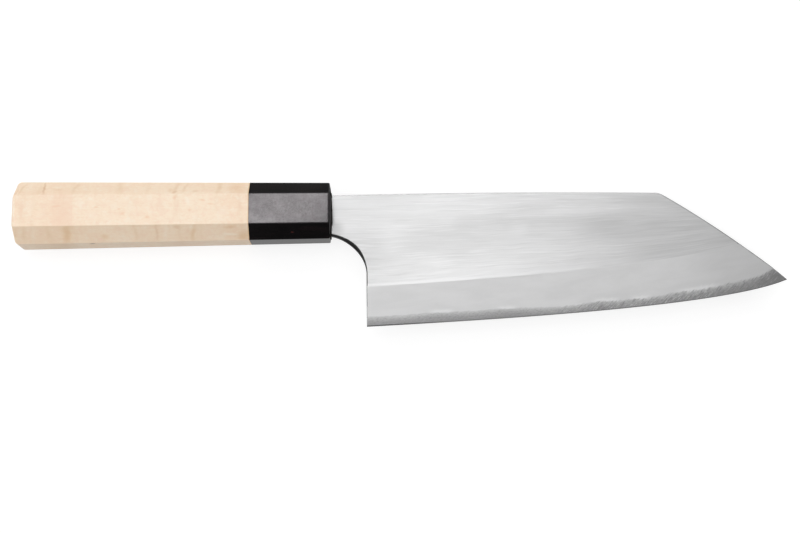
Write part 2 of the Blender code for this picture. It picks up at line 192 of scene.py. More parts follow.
def newFinish(name, roughness, metallic=0.0, **sockets):
    finish = bpy.data.materials.new(name)
    finish.use_nodes = True
    shader = finish.node_tree.nodes["Principled BSDF"]
    shader.inputs["Roughness"].default_value = roughness
    shader.inputs["Metallic"].default_value = metallic
    for socket, value in sockets.items():
        shader.inputs[socket.replace("_", " ")].default_value = value
    return finish, finish.node_tree, shader


def wire(tree, shader, bump, **sockets):  # bump: height, strength, depth
    for socket, value in sockets.items():
        tree.links.new(value, shader.inputs[socket.replace("_", " ")])
    height, strength, depth = bump
    bumped = addNode(tree, "ShaderNodeBump", {"Height": height, "Strength": strength, "Distance": depth})
    tree.links.new(bumped.outputs["Normal"], shader.inputs["Normal"])


def polishBy(tree, pattern, look):  # roughness that follows a pattern
    return fade(tree, pattern, 0.3, 0.7, *look["polish"])


def makePlain(name, look):  # a finish of one pattern between two colours
    finish, tree, shader = newFinish(name, look["roughness"], **look["sockets"])
    pattern = noise(tree, knifePoint(tree), **look["grain"])
    wire(tree, shader, (pattern, *look["bump"]), Base_Color=mixColour(tree, pattern, *look["colours"]))
    if "polish" in look:
        tree.links.new(polishBy(tree, pattern, look), shader.inputs["Roughness"])
    return finish


# Small helpers for meshes and pieces

def toMesh(bm, name):
    mesh = bpy.data.meshes.new(name)
    bm.to_mesh(mesh)
    bm.free()
    return mesh


def joinRings(bm, rings):  # a band of faces from each closed ring to the next
    for before, after in zip(rings, rings[1:]):
        for corner in range(len(after)):
            bm.faces.new((before[corner], before[corner - 1], after[corner - 1], after[corner]))


def addObject(name, data):
    made = bpy.data.objects.new(name, data)
    bpy.context.scene.collection.objects.link(made)
    return made


def evaluatedMesh(maker):
    bpy.context.view_layer.update()
    graph = bpy.context.evaluated_depsgraph_get()
    return bpy.data.meshes.new_from_object(maker.evaluated_get(graph))


def addPiece(name, mesh, finishes):  # normals lean on the larger faces, so that flats stay flat
    mesh.transform(Matrix.Translation(axisStart))
    for finish in finishes:
        mesh.materials.append(finish)
    maker = addObject(name + "Maker", mesh)
    weighted = maker.modifiers.new("weightedNormals", "WEIGHTED_NORMAL")
    weighted.mode = "FACE_AREA"
    weighted.weight = 80
    weighted.keep_sharp = True
    finished = evaluatedMesh(maker)
    bpy.data.objects.remove(maker, do_unlink=True)
    finished.name = name
    return addObject(name, finished)


def standFor(piece, node):
    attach(piece, "root")
    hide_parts(node)


# Blade. Points in side view are (x, y); sizes are in metres.

bladeSize = {
    "heelSetback": 0.0140,      # ferrule's mouth to the heel
    "tipDrop": 0.0294,
    "neckTop": 0.0069,
    "neckBottom": -0.00985,
    "neckHidden": 0.0050,       # how far the neck runs into the ferrule
    "spineReach": 0.1191,       # heel to the corner above the angled tip
    "spineCrown": 0.0006,
    "cornerReach": 0.0022,      # where the corner's rounding starts on either side
    "cornerRadius": 0.0060,
    "tipBulge": 0.0013,
    "choilDepth": 0.01575,
    "choilForward": 0.45,       # its curve leaves the neck by this share of the setback ahead
    "choilFall": 0.08,          # and by this share of the depth down
    "bondLine": 0.00002,
    "finalBevel": 0.00045,      # width of the narrow bevel at the edge
    "finalBevelHeight": 0.000075,
    "finalShare": 0.3,          # and at most this share of the bared core
    "edgeHalf": 0.000008,
    "bevelCrown": 0.00002,      # slight fullness across the bevel
    "crownBelow": 0.8,          # share of it that lies below the softened line
    "ridgeHalf": 0.00035,       # half the width over which the bevel's upper line is softened
    "tipSlant": 1.2,            # a line's rise along the angled tip, for each rise at the heel
    "arcFrom": 0.94,            # share of the length from where lines bend onto the tip's bulge
    "waveOnset": 30,            # the core's waves set in over the first thirtieth of the length
    "flatRise": 0.037,          # height of the flats at the heel; streaks are spread over it
    "leastFlat": 0.004,
    "flush": 0.000002,          # a layer's two faces meet where they are closer than this
    "bevelRows": 8,
    "coreRows": 5,
}
bladeLines = {                  # how each line leaves the heel and comes in at the tip
    "edge": {"flat": 0.0800, "flatSlope": 0.0437, "sweep": 0.0215, "sweepSlope": 0.416,
             "atHeel": 0.0, "atTip": 0.0},
    "core": {"flat": 0.0800, "flatSlope": 0.028, "sweep": 0.0205, "sweepSlope": 0.560,
             "atHeel": 0.0035, "atTip": 0.0076},
    "bevel": {"flat": 0.0600, "flatSlope": 0.055, "sweep": 0.0350, "sweepSlope": 0.240,
              "atHeel": 0.0160, "atTip": 0.0232},
}
layerThickness = {              # on one side: at the neck's top, and on the layer's line at heel and tip
    "core": (0.00050, 0.00022, 0.00017), "clad": (0.00143, 0.00103, 0.00018),
}
coreWaves = (               # from the heel: where the bared core swells or dips, by how much, how far
    (0.0300, 0.00075, 0.0110), (0.0545, 0.00085, 0.0110), (0.0770, -0.00050, 0.0070),
    (0.0940, 0.00110, 0.0050), (0.1145, -0.00045, 0.0060), (0.1260, 0.00045, 0.0035),
    (0.1420, -0.00045, 0.0060), (0.1570, -0.00120, 0.0080),
)
easing = {                  # radii along the outline, and the number of facets across them
    "tip": 0.00034, "spine": 0.00030, "neck": 0.00080, "choil": 0.00135, "heelTop": 0.00042,
    "heel": 0.00030, "steps": 4,
    "choilSwell": 1.1,          # above 1, the choil's wide easing ends before the heel
    "least": 0.00001,           # a smaller drop doesn't count as easing
    "cladShare": 0.75, "coreShare": 0.6,    # how much of a layer it may take away
}
outlineSteps = {"tip": 60, "corner": 8, "spine": 90, "choil": 40, "heel": 30}
netting = {                 # the flats' inner points: how far apart, and how far they keep away
    "spacing": 0.0024, "top": 0.009, "fromOutline": 0.0015, "fromRidge": 0.0005, "pastEasing": 0.0002,
    "fromEnds": 0.0004,
}
stations = {                # shares of the way from the heel to the tip
    "atHeel": (0.0, 0.0003, 0.0007, 0.0012, 0.0018, 0.0026),
    "between": (0.0045, 0.986), "count": 250,
    "atTip": (0.991, 0.994, 0.9965, 0.9985, 1.0),
}
finishNumber = {"flat": 0, "bevel": 1, "spine": 2, "dark": 3, "edge": 4}
heelX = mouthX + bladeSize["heelSetback"]
cornerPoint = Vector((heelX + bladeSize["spineReach"], bladeSize["neckTop"]))
tipPoint = Vector((tipX, -bladeSize["tipDrop"]))
tipRun = cornerPoint - tipPoint


# Steels. The blade's meshes hold an attribute, lay: how far along the blade a point is, how
# high above the bevel's upper line, and how high above the line of the bared core. Over the
# flats the second one is a share of the way to the spine, so that streaks follow both lines.

def layOf(tree):  # along, the same from the heel, above the bevel's line, above the core's line
    lay = addNode(tree, "ShaderNodeAttribute", attribute_name="lay").outputs["Vector"]
    along, above, fromCore = splitPoint(tree, lay)
    return along, calc(tree, "SUBTRACT", along, heelX), above, fromCore


flatLook = {
    "drift": (55.0, 0.0022),    # scale and reach of the slow waver in the streaks
    "grain": {
        "broad": {"scale": (16.0, 110.0, 1.0), "shift": (2.3, 5.1, 0.0)},
        "lines": {"scale": (34.0, 620.0, 1.0)},
        "streaks": {"scale": (60.0, 1500.0, 1.0), "detail": 3.0, "roughness": 0.55,
                    "shift": (4.0, 7.0, 0.0)},
        "fine": {"scale": (160.0, 9000.0, 1.0), "roughness": 0.6},
        "grain": {"scale": (2600.0, 3400.0, 1.0), "roughness": 0.6},
    },
    "layers": (                 # pattern, from, to, strength, tone
        ("broad", 0.32, 0.68, 1.0, 0.622), ("lines", 0.42, 0.68, 0.26, 0.69),
        ("streaks", 0.53, 0.68, 0.38, 0.74), ("streaks", 0.47, 0.32, 0.36, 0.48),
        ("grain", 0.58, 0.72, 0.16, 0.48),
    ),
    "tone": 0.580,
    "patches": (  # from the heel, above the bevel, half length, half height, strength; dark if negative
        (0.0400, 0.0240, 0.0080, 0.0050, -0.14), (0.0620, 0.0205, 0.0060, 0.0050, 0.14),
        (0.0945, 0.0210, 0.0150, 0.0070, -0.22), (0.1160, 0.0200, 0.0120, 0.0060, -0.14),
        (0.1448, 0.0140, 0.0050, 0.0080, -0.24), (0.0100, 0.0180, 0.0070, 0.0080, 0.08),
        (0.0280, 0.0080, 0.0090, 0.0030, 0.08),
    ),
    "patchTones": (0.40, 0.90),
    "masks": {                  # pattern, from, to
        # heelEnd and tipEnd ease in painted shade: the flats darker at the heel and towards the tip
        "heelEnd": ("fromHeel", 0.034, -0.004), "tipEnd": ("fromHeel", 0.085, 0.125),
        "bandLow": ("above", 0.0095, 0.0165), "bandHigh": ("above", 0.0290, 0.0225),
        "bandStart": ("fromHeel", 0.008, 0.026), "bandEnd": ("fromHeel", 0.125, 0.100),
        # overLine and heelHalf place a painted highlight: a lighter band just above the bevel's line, on the
        # heel half
        "overLine": ("above", 0.0017, 0.0006), "heelHalf": ("fromHeel", 0.074, 0.040),
    },
    "marks": (                  # tone, strength, masks
        # painted shade: the first two marks darken the flats at the heel and towards the tip
        (0.0, 0.13, "heelEnd"), (0.0, 0.09, "tipEnd"),
        (0.0, 0.09, "bandLow", "bandHigh", "bandStart", "bandEnd"),
        # the second mark below is a painted highlight: a lighter band just above the bevel's line on the heel
        # half
        (0.0, 0.25, "worn"), (0.70, 0.75, "overLine", "heelHalf"),
    ),
    "worn": ((mouthX + 0.0012, -0.0070, 0.0), (0.0055, 0.0050, 1.0)),   # place and half sizes, by the choil
    "roughness": ("broad", 0.25, 0.75, 0.36, 0.31),
    "bump": (0.10, 0.00001),
}


def makeFlatSteel():  # the flats above the bevel, with cloudy lines along the blade
    finish, tree, shader = newFinish("cloudyFlat", 0.34, 1.0)
    along, fromHeel, above, _ = layOf(tree)
    scale, reach = flatLook["drift"]
    drift = noise(tree, joinPoint(tree, along, above), scale)
    flow = joinPoint(tree, along, sway(tree, above, drift, reach))
    patterns = noises(tree, flow, flatLook["grain"])
    patterns.update(fromHeel=fromHeel, above=above)
    tone = layerBy(tree, shade(flatLook["tone"]), patterns, flatLook["layers"], shade)
    for start, height, halfLength, halfHeight, strength in flatLook["patches"]:
        here = spot(tree, flow, (heelX + start, height, 0.0), (halfLength, halfHeight, 1.0))
        target = shade(flatLook["patchTones"][strength > 0])
        tone = tint(tree, tone, target, abs(strength), here)
    worn = spot(tree, knifePoint(tree), *flatLook["worn"], core=0.1)
    tone = markBy(tree, tone, patterns, flatLook, shade, worn=worn)
    wire(tree, shader, (patterns["fine"], *flatLook["bump"]), Base_Color=tone,
         Roughness=fadeBy(tree, patterns, *flatLook["roughness"]))
    return finish


bevelLook = {
    "grain": {
        "mist": {"scale": (50.0, 190.0, 1.0), "detail": 4.0, "roughness": 0.6, "distortion": 0.4},
        "grain": {"scale": (2300.0, 3000.0, 1.0)},
        "mottle": {"scale": (420.0, 900.0, 1.0), "detail": 3.0, "roughness": 0.6, "distortion": 0.6},
        "cloudy": {"scale": (900.0, 2000.0, 1.0), "detail": 3.0, "roughness": 0.7,
                   "shift": (2.0, 9.0, 0.0)},
        "patchy": {"scale": (38.0, 90.0, 1.0), "detail": 1.0},
    },
    "scratchTurn": math.radians(-40),
    "scratches": {              # these run aslant
        "fine": {"scale": (330.0, 2300.0, 1.0), "detail": 3.0, "roughness": 0.6, "distortion": 0.4},
        "wide": {"scale": (300.0, 1500.0, 1.0), "detail": 3.0, "roughness": 0.6, "distortion": 0.4,
                 "shift": (3.0, 5.0, 0.0)},
    },
    "ragged": ("fromHeel", 0.050, 0.100, 0.0002, 0.0019),   # how far scratches shift the core's line
    "speckled": 0.0010,         # how far the mottle does
    "tone": 0.625,
    "layers": (                 # pattern, from, to, strength, tone; height is over the core's ragged line
        ("mist", 0.3, 0.7, 1.0, 0.665), ("grain", 0.60, 0.75, 0.22, 0.74),
        ("fromHeel", 0.118, 0.155, 0.11, 0.0), ("height", 0.0008, 0.0002, 1.0, 0.530),
        ("height", 0.0002, -0.0004, 1.0, 0.450), ("height", -0.0004, -0.0010, 1.0, 0.390),
        ("height", -0.0010, -0.0018, 1.0, 0.330), ("height", -0.0018, -0.0030, 1.0, 0.290),
    ),
    "masks": {                  # pattern, from, to, and the least and most of it
        "onCore": ("height", 0.0004, -0.0006), "tipwards": ("fromHeel", 0.060, 0.100, 0.12, 0.85),
        "patchy": ("patchy", 0.35, 0.6, 0.25, 1.0), "scratches": ("fine", 0.50, 0.64),
        "hollows": ("wide", 0.48, 0.36), "clouds": ("cloudy", 0.46, 0.62),
        "toTip": ("fromHeel", 0.145, tipX - heelX),
        "overLine": ("height", -0.0001, 0.0004), "nearLine": ("height", 0.0021, 0.0006),
    },
    "marks": (                  # tone, strength, masks
        (0.62, 0.70, "scratches", "onCore", "patchy", "tipwards"),
        (0.20, 0.60, "hollows", "onCore", "tipwards"), (0.22, 0.42, "clouds", "onCore"),
        (0.20, 0.55, "toTip", "onCore"), (0.84, 0.44, "fringe", "overLine", "nearLine"),
    ),
    "fringe": (  # along from the heel, half length: where the line of the core has a light fringe
        (0.0300, 0.0065), (0.0560, 0.0050), (0.0960, 0.0070), (0.1100, 0.0050), (0.1330, 0.0110),
    ),
    "roughness": ("height", -0.0006, 0.0004, 0.46, 0.50),
    "bump": (0.12, 0.00002),
}


def makeBevelSteel():  # misty bevel, and the bared core below it with its scratches
    finish, tree, shader = newFinish("mistyBevel", 0.50, 1.0)
    along, fromHeel, above, fromCore = layOf(tree)
    flow = joinPoint(tree, along, above)
    patterns = noises(tree, flow, bevelLook["grain"])
    turned = stretch(tree, flow, (1.0, 1.0, 1.0), bevelLook["scratchTurn"])
    patterns.update(noises(tree, turned, bevelLook["scratches"]), fromHeel=fromHeel)
    ragged = sway(tree, fromCore, patterns["wide"], fadeBy(tree, patterns, *bevelLook["ragged"]))
    patterns["height"] = sway(tree, ragged, patterns["mottle"], bevelLook["speckled"])
    tone = layerBy(tree, shade(bevelLook["tone"]), patterns, bevelLook["layers"], shade)
    fringe = 0.0
    for middle, half in bevelLook["fringe"]:
        off = calc(tree, "ABSOLUTE", calc(tree, "SUBTRACT", fromHeel, middle))
        fringe = calc(tree, "MAXIMUM", fade(tree, off, half, half * 0.3), fringe)
    tone = markBy(tree, tone, patterns, bevelLook, shade, fringe=fringe)
    wire(tree, shader, (patterns["fine"], *bevelLook["bump"]), Base_Color=tone,
         Roughness=fadeBy(tree, patterns, *bevelLook["roughness"]))
    return finish


spineLook = {                   # eased spine, polished along its length
    "grain": {"scale": (60.0, 60.0, 4000.0), "roughness": 0.6},
    "colours": (shade(0.46), shade(0.56)),
    "roughness": 0.24, "polish": (0.20, 0.30), "bump": (0.1, 0.00001), "sockets": {"metallic": 1.0},
}
darkLook = {                    # forge-dark rounding of the choil and heel, greyer on the angled tip
    "grain": {"scale": (400.0, 400.0, 4000.0), "detail": 3.0, "roughness": 0.6},
    "atHeel": (shade(0.018), shade(0.055)), "atTip": (shade(0.20), shade(0.32)),
    "change": (0.01, 0.11),     # from the heel
    "polish": (0.34, 0.46), "bump": (0.15, 0.00002),
}
edgeLook = {                    # the narrow final bevel along the edge, darker near the heel
    "grain": {"scale": (3500.0, 300.0, 1.0)},
    "colours": (shade(0.18), shade(0.28)),
    "masks": {"heelEnd": ("fromHeel", 0.040, 0.012)}, "marks": ((0.06, 0.75, "heelEnd"),),
    "polish": (0.30, 0.40), "bump": (0.1, 0.00001),
}


def makeDarkSteel():
    finish, tree, shader = newFinish("darkRounding", 0.40, 1.0)
    place = knifePoint(tree)
    lines = noise(tree, place, **darkLook["grain"])
    dark, grey = (mixColour(tree, lines, *darkLook[end]) for end in ("atHeel", "atTip"))
    start, end = darkLook["change"]
    tipwards = fade(tree, splitPoint(tree, place)["X"], heelX + start, heelX + end)
    wire(tree, shader, (lines, *darkLook["bump"]), Base_Color=mixColour(tree, tipwards, dark, grey),
         Roughness=polishBy(tree, lines, darkLook))
    return finish


def makeCuttingEdge():
    finish, tree, shader = newFinish("cuttingEdge", 0.34, 1.0)
    along, fromHeel, above, _ = layOf(tree)
    hone = noise(tree, joinPoint(tree, along, above), **edgeLook["grain"])
    tone = mixColour(tree, hone, *edgeLook["colours"])
    tone = markBy(tree, tone, {"fromHeel": fromHeel}, edgeLook, shade)
    wire(tree, shader, (hone, *edgeLook["bump"]), Base_Color=tone, Roughness=polishBy(tree, hone, edgeLook))
    return finish


bladeFinishes = (makeFlatSteel(), makeBevelSteel(), makePlain("polishedSpine", spineLook), makeDarkSteel(),
                 makeCuttingEdge())
print("steels made")


# Lines of the blade in side view

def fullness(share):  # 0 at both ends, 1 in the middle
    return 4 * share * (1 - share)


def bowed(start, run, share, rise):  # a point on a run that bows outwards by rise
    outwards = Vector((run.y, -run.x)).normalized()
    return start + run * share + outwards * rise * fullness(share)


def cubic(start, first, last, end, share):
    rest = 1 - share
    return start * rest**3 + first * 3 * rest**2 * share + last * 3 * rest * share**2 + end * share**3


def onAngledTip(fromTip):
    return bowed(tipPoint, tipRun, fromTip / tipRun.length, bladeSize["tipBulge"])


def lineAt(line, share, shift=0.0):  # a cubic from the heel to the angled tip, moved up by shift
    start = Vector((heelX, heelY + line["atHeel"] + shift))
    end = onAngledTip(line["atTip"] + shift * bladeSize["tipSlant"])
    first = start + Vector((1.0, line["flatSlope"])) * line["flat"]
    last = end - Vector((1.0, line["sweepSlope"])) * line["sweep"]
    return cubic(start, first, last, end, share)


def waveAt(x):
    return sum(rise * math.exp(-(((x - heelX - at) / spread) ** 2)) for at, rise, spread in coreWaves)


def planeThrough(corners):
    (ax, ay, az), (bx, by, bz), (cx, cy, cz) = corners
    slopes = np.linalg.solve(np.array([[bx - ax, by - ay], [cx - ax, cy - ay]]),
                             np.array([bz - az, cz - az]))
    return lambda x, y: az + slopes[0] * (x - ax) + slopes[1] * (y - ay)


def layerPlane(name, line):
    atNeck, atHeel, atTip = layerThickness[name]
    heelEnd, tipEnd = lineAt(line, 0.0), lineAt(line, 1.0)
    return planeThrough(((mouthX, bladeSize["neckTop"], atNeck), (*heelEnd, atHeel), (*tipEnd, atTip)))


corePlane = layerPlane("core", bladeLines["core"])
cladPlane = layerPlane("clad", bladeLines["bevel"])


def innerHeight(x, y):  # of a cladding's inner face over the blade's middle
    return corePlane(x, y) + bladeSize["bondLine"]


def outerHeight(x, y):  # half the blade's thickness over the flats
    return innerHeight(x, y) + cladPlane(x, y)


def stationOf(share):  # points on the edge, the core's line, the bevel's line and beside the latter
    edge = lineAt(bladeLines["edge"], share)
    core = lineAt(bladeLines["core"], share)
    bevel = lineAt(bladeLines["bevel"], share)
    upwards = (bevel - edge).normalized()
    core = core + upwards * waveAt(core.x) * min(1.0, share * bladeSize["waveOnset"])
    if share == 1.0:
        core = onAngledTip(bladeLines["core"]["atTip"] + waveAt(core.x))
    below = bevel + (core - bevel).normalized() * bladeSize["ridgeHalf"]
    beyond = lineAt(bladeLines["bevel"], share, bladeSize["ridgeHalf"])
    return edge, core, below, bevel, beyond


def towardsArc(point, share):  # bends the last stations onto the angled tip's bulge
    pull = max(0.0, (share - bladeSize["arcFrom"]) / (1 - bladeSize["arcFrom"])) ** 2
    fromTip = (point - tipPoint).length
    if pull == 0.0 or fromTip < 1e-6:
        return point
    flat = tipPoint + (onAngledTip(bladeLines["bevel"]["atTip"]) - tipPoint).normalized() * fromTip
    return point + (onAngledTip(fromTip) - flat) * pull


# Stations lie close together at both ends, where the blade is eased
shares = [*stations["atHeel"], *np.linspace(*stations["between"], stations["count"]), *stations["atTip"]]
edgeLine, coreLine, belowRidge, bevelLine, aboveRidge = zip(*[stationOf(share) for share in shares])


def bladeRows(low, high, steps, crown=0.0):  # rows of (x, y, z) between two lines that have heights
    rows = []
    for step in range(steps + 1):
        up = step / steps
        row = []
        for share, lowPoint, lowZ, highPoint, highZ in zip(shares, *low, *high):
            point = lowPoint.lerp(highPoint, up)
            if low[0] is not bevelLine:
                point = towardsArc(point, share)
            row.append((point.x, point.y, lowZ + (highZ - lowZ) * up + crown * fullness(up)))
        rows.append(row)
    return rows


def roundedCorner(before, corner, after, radius, steps):
    back = (before - corner).normalized()
    ahead = (after - corner).normalized()
    half = back.angle(ahead) / 2
    reach = radius / math.tan(half)
    centre = corner + (back + ahead).normalized() * radius / math.sin(half)
    start = corner + back * reach - centre
    turn = start.angle_signed(corner + ahead * reach - centre)
    return [centre + Matrix.Rotation(-turn * step / steps, 2) @ start for step in range(steps + 1)]


def stepped(count, first=0):  # shares of the way, from first / count to 1
    return [step / count for step in range(first, count + 1)]


def bladeOutline():  # (point, easing radius, finish) from the tip, over the spine and choil to the heel
    spine, dark = finishNumber["spine"], finishNumber["dark"]
    reach, depth = bladeSize["cornerReach"], bladeSize["choilDepth"]
    neckTop = Vector((mouthX, bladeSize["neckTop"]))
    neckBottom = Vector((mouthX, bladeSize["neckBottom"]))
    hidden = Vector((bladeSize["neckHidden"], 0.0))
    spineRun = neckTop - cornerPoint
    afterCorner = reach / spineRun.length

    def onSpine(share):
        return bowed(cornerPoint, spineRun, share, bladeSize["spineCrown"])

    tip = [onAngledTip((tipRun.length - reach) * share) for share in stepped(outlineSteps["tip"])]
    top = roundedCorner(tip[-1], cornerPoint, onSpine(afterCorner), bladeSize["cornerRadius"],
                        outlineSteps["corner"])
    top += [onSpine(afterCorner + (1 - afterCorner) * share) for share in stepped(outlineSteps["spine"], 1)]
    outline = [(point, easing["tip"], dark) for point in tip]
    outline += [(point, easing["spine"], spine) for point in [*top, neckTop - hidden]]
    outline.append((neckBottom - hidden, easing["neck"], dark))
    low = Vector((heelX, bladeSize["neckBottom"] - depth))
    upwards = low + Vector((0.0, depth / 2))
    forwards = neckBottom + Vector((bladeSize["heelSetback"] * bladeSize["choilForward"],
                                    -depth * bladeSize["choilFall"]))
    for share in stepped(outlineSteps["choil"]):
        ends = easing["neck"] + (easing["heelTop"] - easing["neck"]) * share
        swell = math.sin(math.pi * min(1.0, share * easing["choilSwell"])) ** 2
        outline.append((cubic(neckBottom, forwards, upwards, low, share),
                        ends + (easing["choil"] - ends) * swell, dark))
    for share in stepped(outlineSteps["heel"], 1):
        radius = easing["heelTop"] + (easing["heel"] - easing["heelTop"]) * share
        outline.append((low.lerp(Vector((heelX, heelY)), share), radius, dark))
    return outline


outline = bladeOutline()
outlinePoints = np.array([tuple(point) for point, _, _ in outline])
outlineRadii = np.array([radius for _, radius, _ in outline])
outlineFinish = [finish for _, _, finish in outline]


def easeDrop(points):  # how far the rounding along the outline lowers each point, and its finish there
    starts, ends = outlinePoints[:-1], outlinePoints[1:]
    runs = ends - starts
    lengths = np.maximum((runs**2).sum(1), 1e-14)
    drops = np.zeros(len(points))
    finishes = np.zeros(len(points), int)
    for index, point in enumerate(points):
        share = np.clip(((point - starts) * runs).sum(1) / lengths, 0, 1)
        gaps = np.hypot(*(starts + runs * share[:, None] - point).T)
        nearest = int(gaps.argmin())
        radius = outlineRadii[nearest] + (outlineRadii[nearest + 1] - outlineRadii[nearest]) * share[nearest]
        if gaps[nearest] < radius:
            drops[index] = radius - math.sqrt(radius**2 - (radius - gaps[nearest]) ** 2)
            finishes[index] = outlineFinish[nearest]
    return drops, finishes


def gapsFrom(line, place):  # from a place to each of a line's points
    return np.hypot(*(np.array(line) - np.array(place)).T)


def farFrom(line, places, least):
    return np.array([gapsFrom(line, place).min() > least for place in places])


def outlineBetween(start, end):  # the outline's points strictly between two places on it
    gaps = [gapsFrom(outlinePoints, place) for place in (start, end)]
    first, last = (int(gap.argmin()) for gap in gaps)
    clear = np.minimum(*gaps) > netting["fromEnds"]
    return [index for index in range(first, last + 1) if clear[index]]


def inwards(index):
    before = outlinePoints[max(index - 1, 0)]
    after = outlinePoints[min(index + 1, len(outlinePoints) - 1)]
    run = after - before
    return np.array([-run[1], run[0]]) / np.hypot(*run)


def insideOf(points, polygon):
    inside = np.zeros(len(points), bool)
    following = np.roll(polygon, -1, axis=0)
    for (ax, ay), (bx, by) in zip(polygon, following):
        crosses = (points[:, 1] < ay) != (points[:, 1] < by)
        if ay != by:
            where = ax + (points[:, 1] - ay) * (bx - ax) / (by - ay)
            inside ^= crosses & (points[:, 0] < where)
    return inside


def sownPoints(around, loop, topRow):  # inner points of the flats: rings along the outline, then a net
    sown = []
    depths = [1 - math.cos(math.radians(90) * share) for share in stepped(easing["steps"], 1)]
    for index in around:
        radius = outlineRadii[index]
        for depth in [radius * depth for depth in depths] + [radius + netting["pastEasing"]]:
            sown.append(outlinePoints[index] + inwards(index) * depth)
    across, up = np.meshgrid(np.arange(mouthX, tipX, netting["spacing"]),
                             np.arange(heelY, netting["top"], netting["spacing"]))
    net = np.column_stack((across.ravel(), up.ravel()))
    net = net[farFrom(outlinePoints, net, netting["fromOutline"])]
    sown = np.vstack((np.array(sown), net))
    sown = sown[insideOf(sown, np.array(loop))]
    return sown[farFrom(topRow, sown, netting["fromRidge"])]


def planOf(rows, heightAt):  # side-view points, their heights and faces: the rows, then all the rest above
    columns = len(rows[0])
    points = [tuple(place[:2]) for row in rows for place in row]
    heights = [place[2] for row in rows for place in row]
    faces = []
    kinds = []                  # a face's row, or -1 above the rows
    for row in range(len(rows) - 1):
        for corner in range(row * columns, (row + 1) * columns - 1):
            faces.append((corner, corner + 1, corner + columns + 1, corner + columns))
            kinds.append(row)
    topRow = points[-columns:]
    around = outlineBetween(topRow[-1], topRow[0])
    loop = topRow + [tuple(outlinePoints[index]) for index in around]
    asked = [Vector(place) * 1000 for place in [*loop, *sownPoints(around, loop, topRow)]]
    edges = [(index, (index + 1) % len(loop)) for index in range(len(loop))]
    made, _, triangles, origins, _, _ = delaunay_2d_cdt(asked, edges, [], 1, 1e-7)
    numbers = []
    for place, origin in zip(made, origins):
        shared = [number for number in origin if number < columns]
        if shared:
            numbers.append((len(rows) - 1) * columns + shared[0])
        else:
            numbers.append(len(points))
            points.append((place.x / 1000, place.y / 1000))
    for triangle in triangles:
        faces.append(tuple(numbers[corner] for corner in triangle))
        kinds.append(-1)
    heights += [heightAt(x, y) for x, y in points[len(heights):]]
    return np.array(points), np.array(heights), faces, kinds


def spineAt(x):  # height of the spine or the angled tip's edge above a place along the blade
    upper = outlinePoints[:outlineSteps["tip"] + 1 + outlineSteps["corner"] + outlineSteps["spine"]]
    order = upper[:, 0].argsort()
    return np.interp(x, upper[order, 0], upper[order, 1])


def layValues(points):  # along, above the bevel's upper line, above the bared core's line
    x, y = points.T
    bevelX, bevelY = np.array(bevelLine).T
    ridge = np.interp(x, bevelX, bevelY)
    above = y - ridge
    room = np.maximum(spineAt(np.minimum(x, cornerPoint.x)) - ridge, bladeSize["leastFlat"])
    above = np.where(above > 0, above * bladeSize["flatRise"] / room, above)
    lastSlope = (bevelY[-1] - bevelY[-9]) / (bevelX[-1] - bevelX[-9])
    above = above - np.maximum(x - bevelX[-1], 0.0) * lastSlope
    return np.column_stack((x, above, y - np.interp(x, *np.array(coreLine).T)))


def layerSolid(name, plan, top, bottom, finishOf, sharpRows=(), side=1.0):  # side is -1 for the far one
    points, _, faces, kinds = plan
    bm = bmesh.new()
    lay = bm.verts.layers.float_vector.new("lay")
    values = layValues(points)

    def addVertex(index, z):
        made = bm.verts.new((*points[index], z * side))
        made[lay] = values[index]
        return made

    upper = [addVertex(index, z) for index, z in enumerate(top)]
    lower = []
    for index, z in enumerate(bottom):
        flush = abs(top[index] - z) < bladeSize["flush"]
        lower.append(upper[index] if flush else addVertex(index, z))
    apart = set(lower) - set(upper)
    uses = {}                   # each edge of the plan, with its turns in the faces beside it
    for face, kind in zip(faces, kinds):
        for start, end in zip(face, face[1:] + face[:1]):
            uses.setdefault((min(start, end), max(start, end)), []).append((start, end))
        bm.faces.new([upper[corner] for corner in face]).material_index = finishOf(kind, face)
        underside = [lower[corner] for corner in reversed(face)]
        if not apart.isdisjoint(underside):
            bm.faces.new(underside).material_index = finishOf(kind, face)
    for turns in uses.values():
        start, end = turns[0]
        ring = list(dict.fromkeys((upper[end], upper[start], lower[start], lower[end])))
        if len(turns) == 1 and len(ring) > 2:
            bm.faces.new(ring).material_index = finishOf("wall", (start, end))
    bmesh.ops.recalc_face_normals(bm, faces=bm.faces)
    for face in bm.faces:
        face.smooth = True
    for edge in bm.edges:
        if len(edge.link_faces) == 2 and edge.calc_face_angle(0.0) > math.radians(28):
            edge.smooth = False
    for row in sharpRows:
        for corners in (upper, lower):
            for start, end in zip(row, row[1:]):
                edge = bm.edges.get((corners[start], corners[end]))
                if edge:
                    edge.smooth = False
    return addPiece(name, toMesh(bm, name), bladeFinishes)


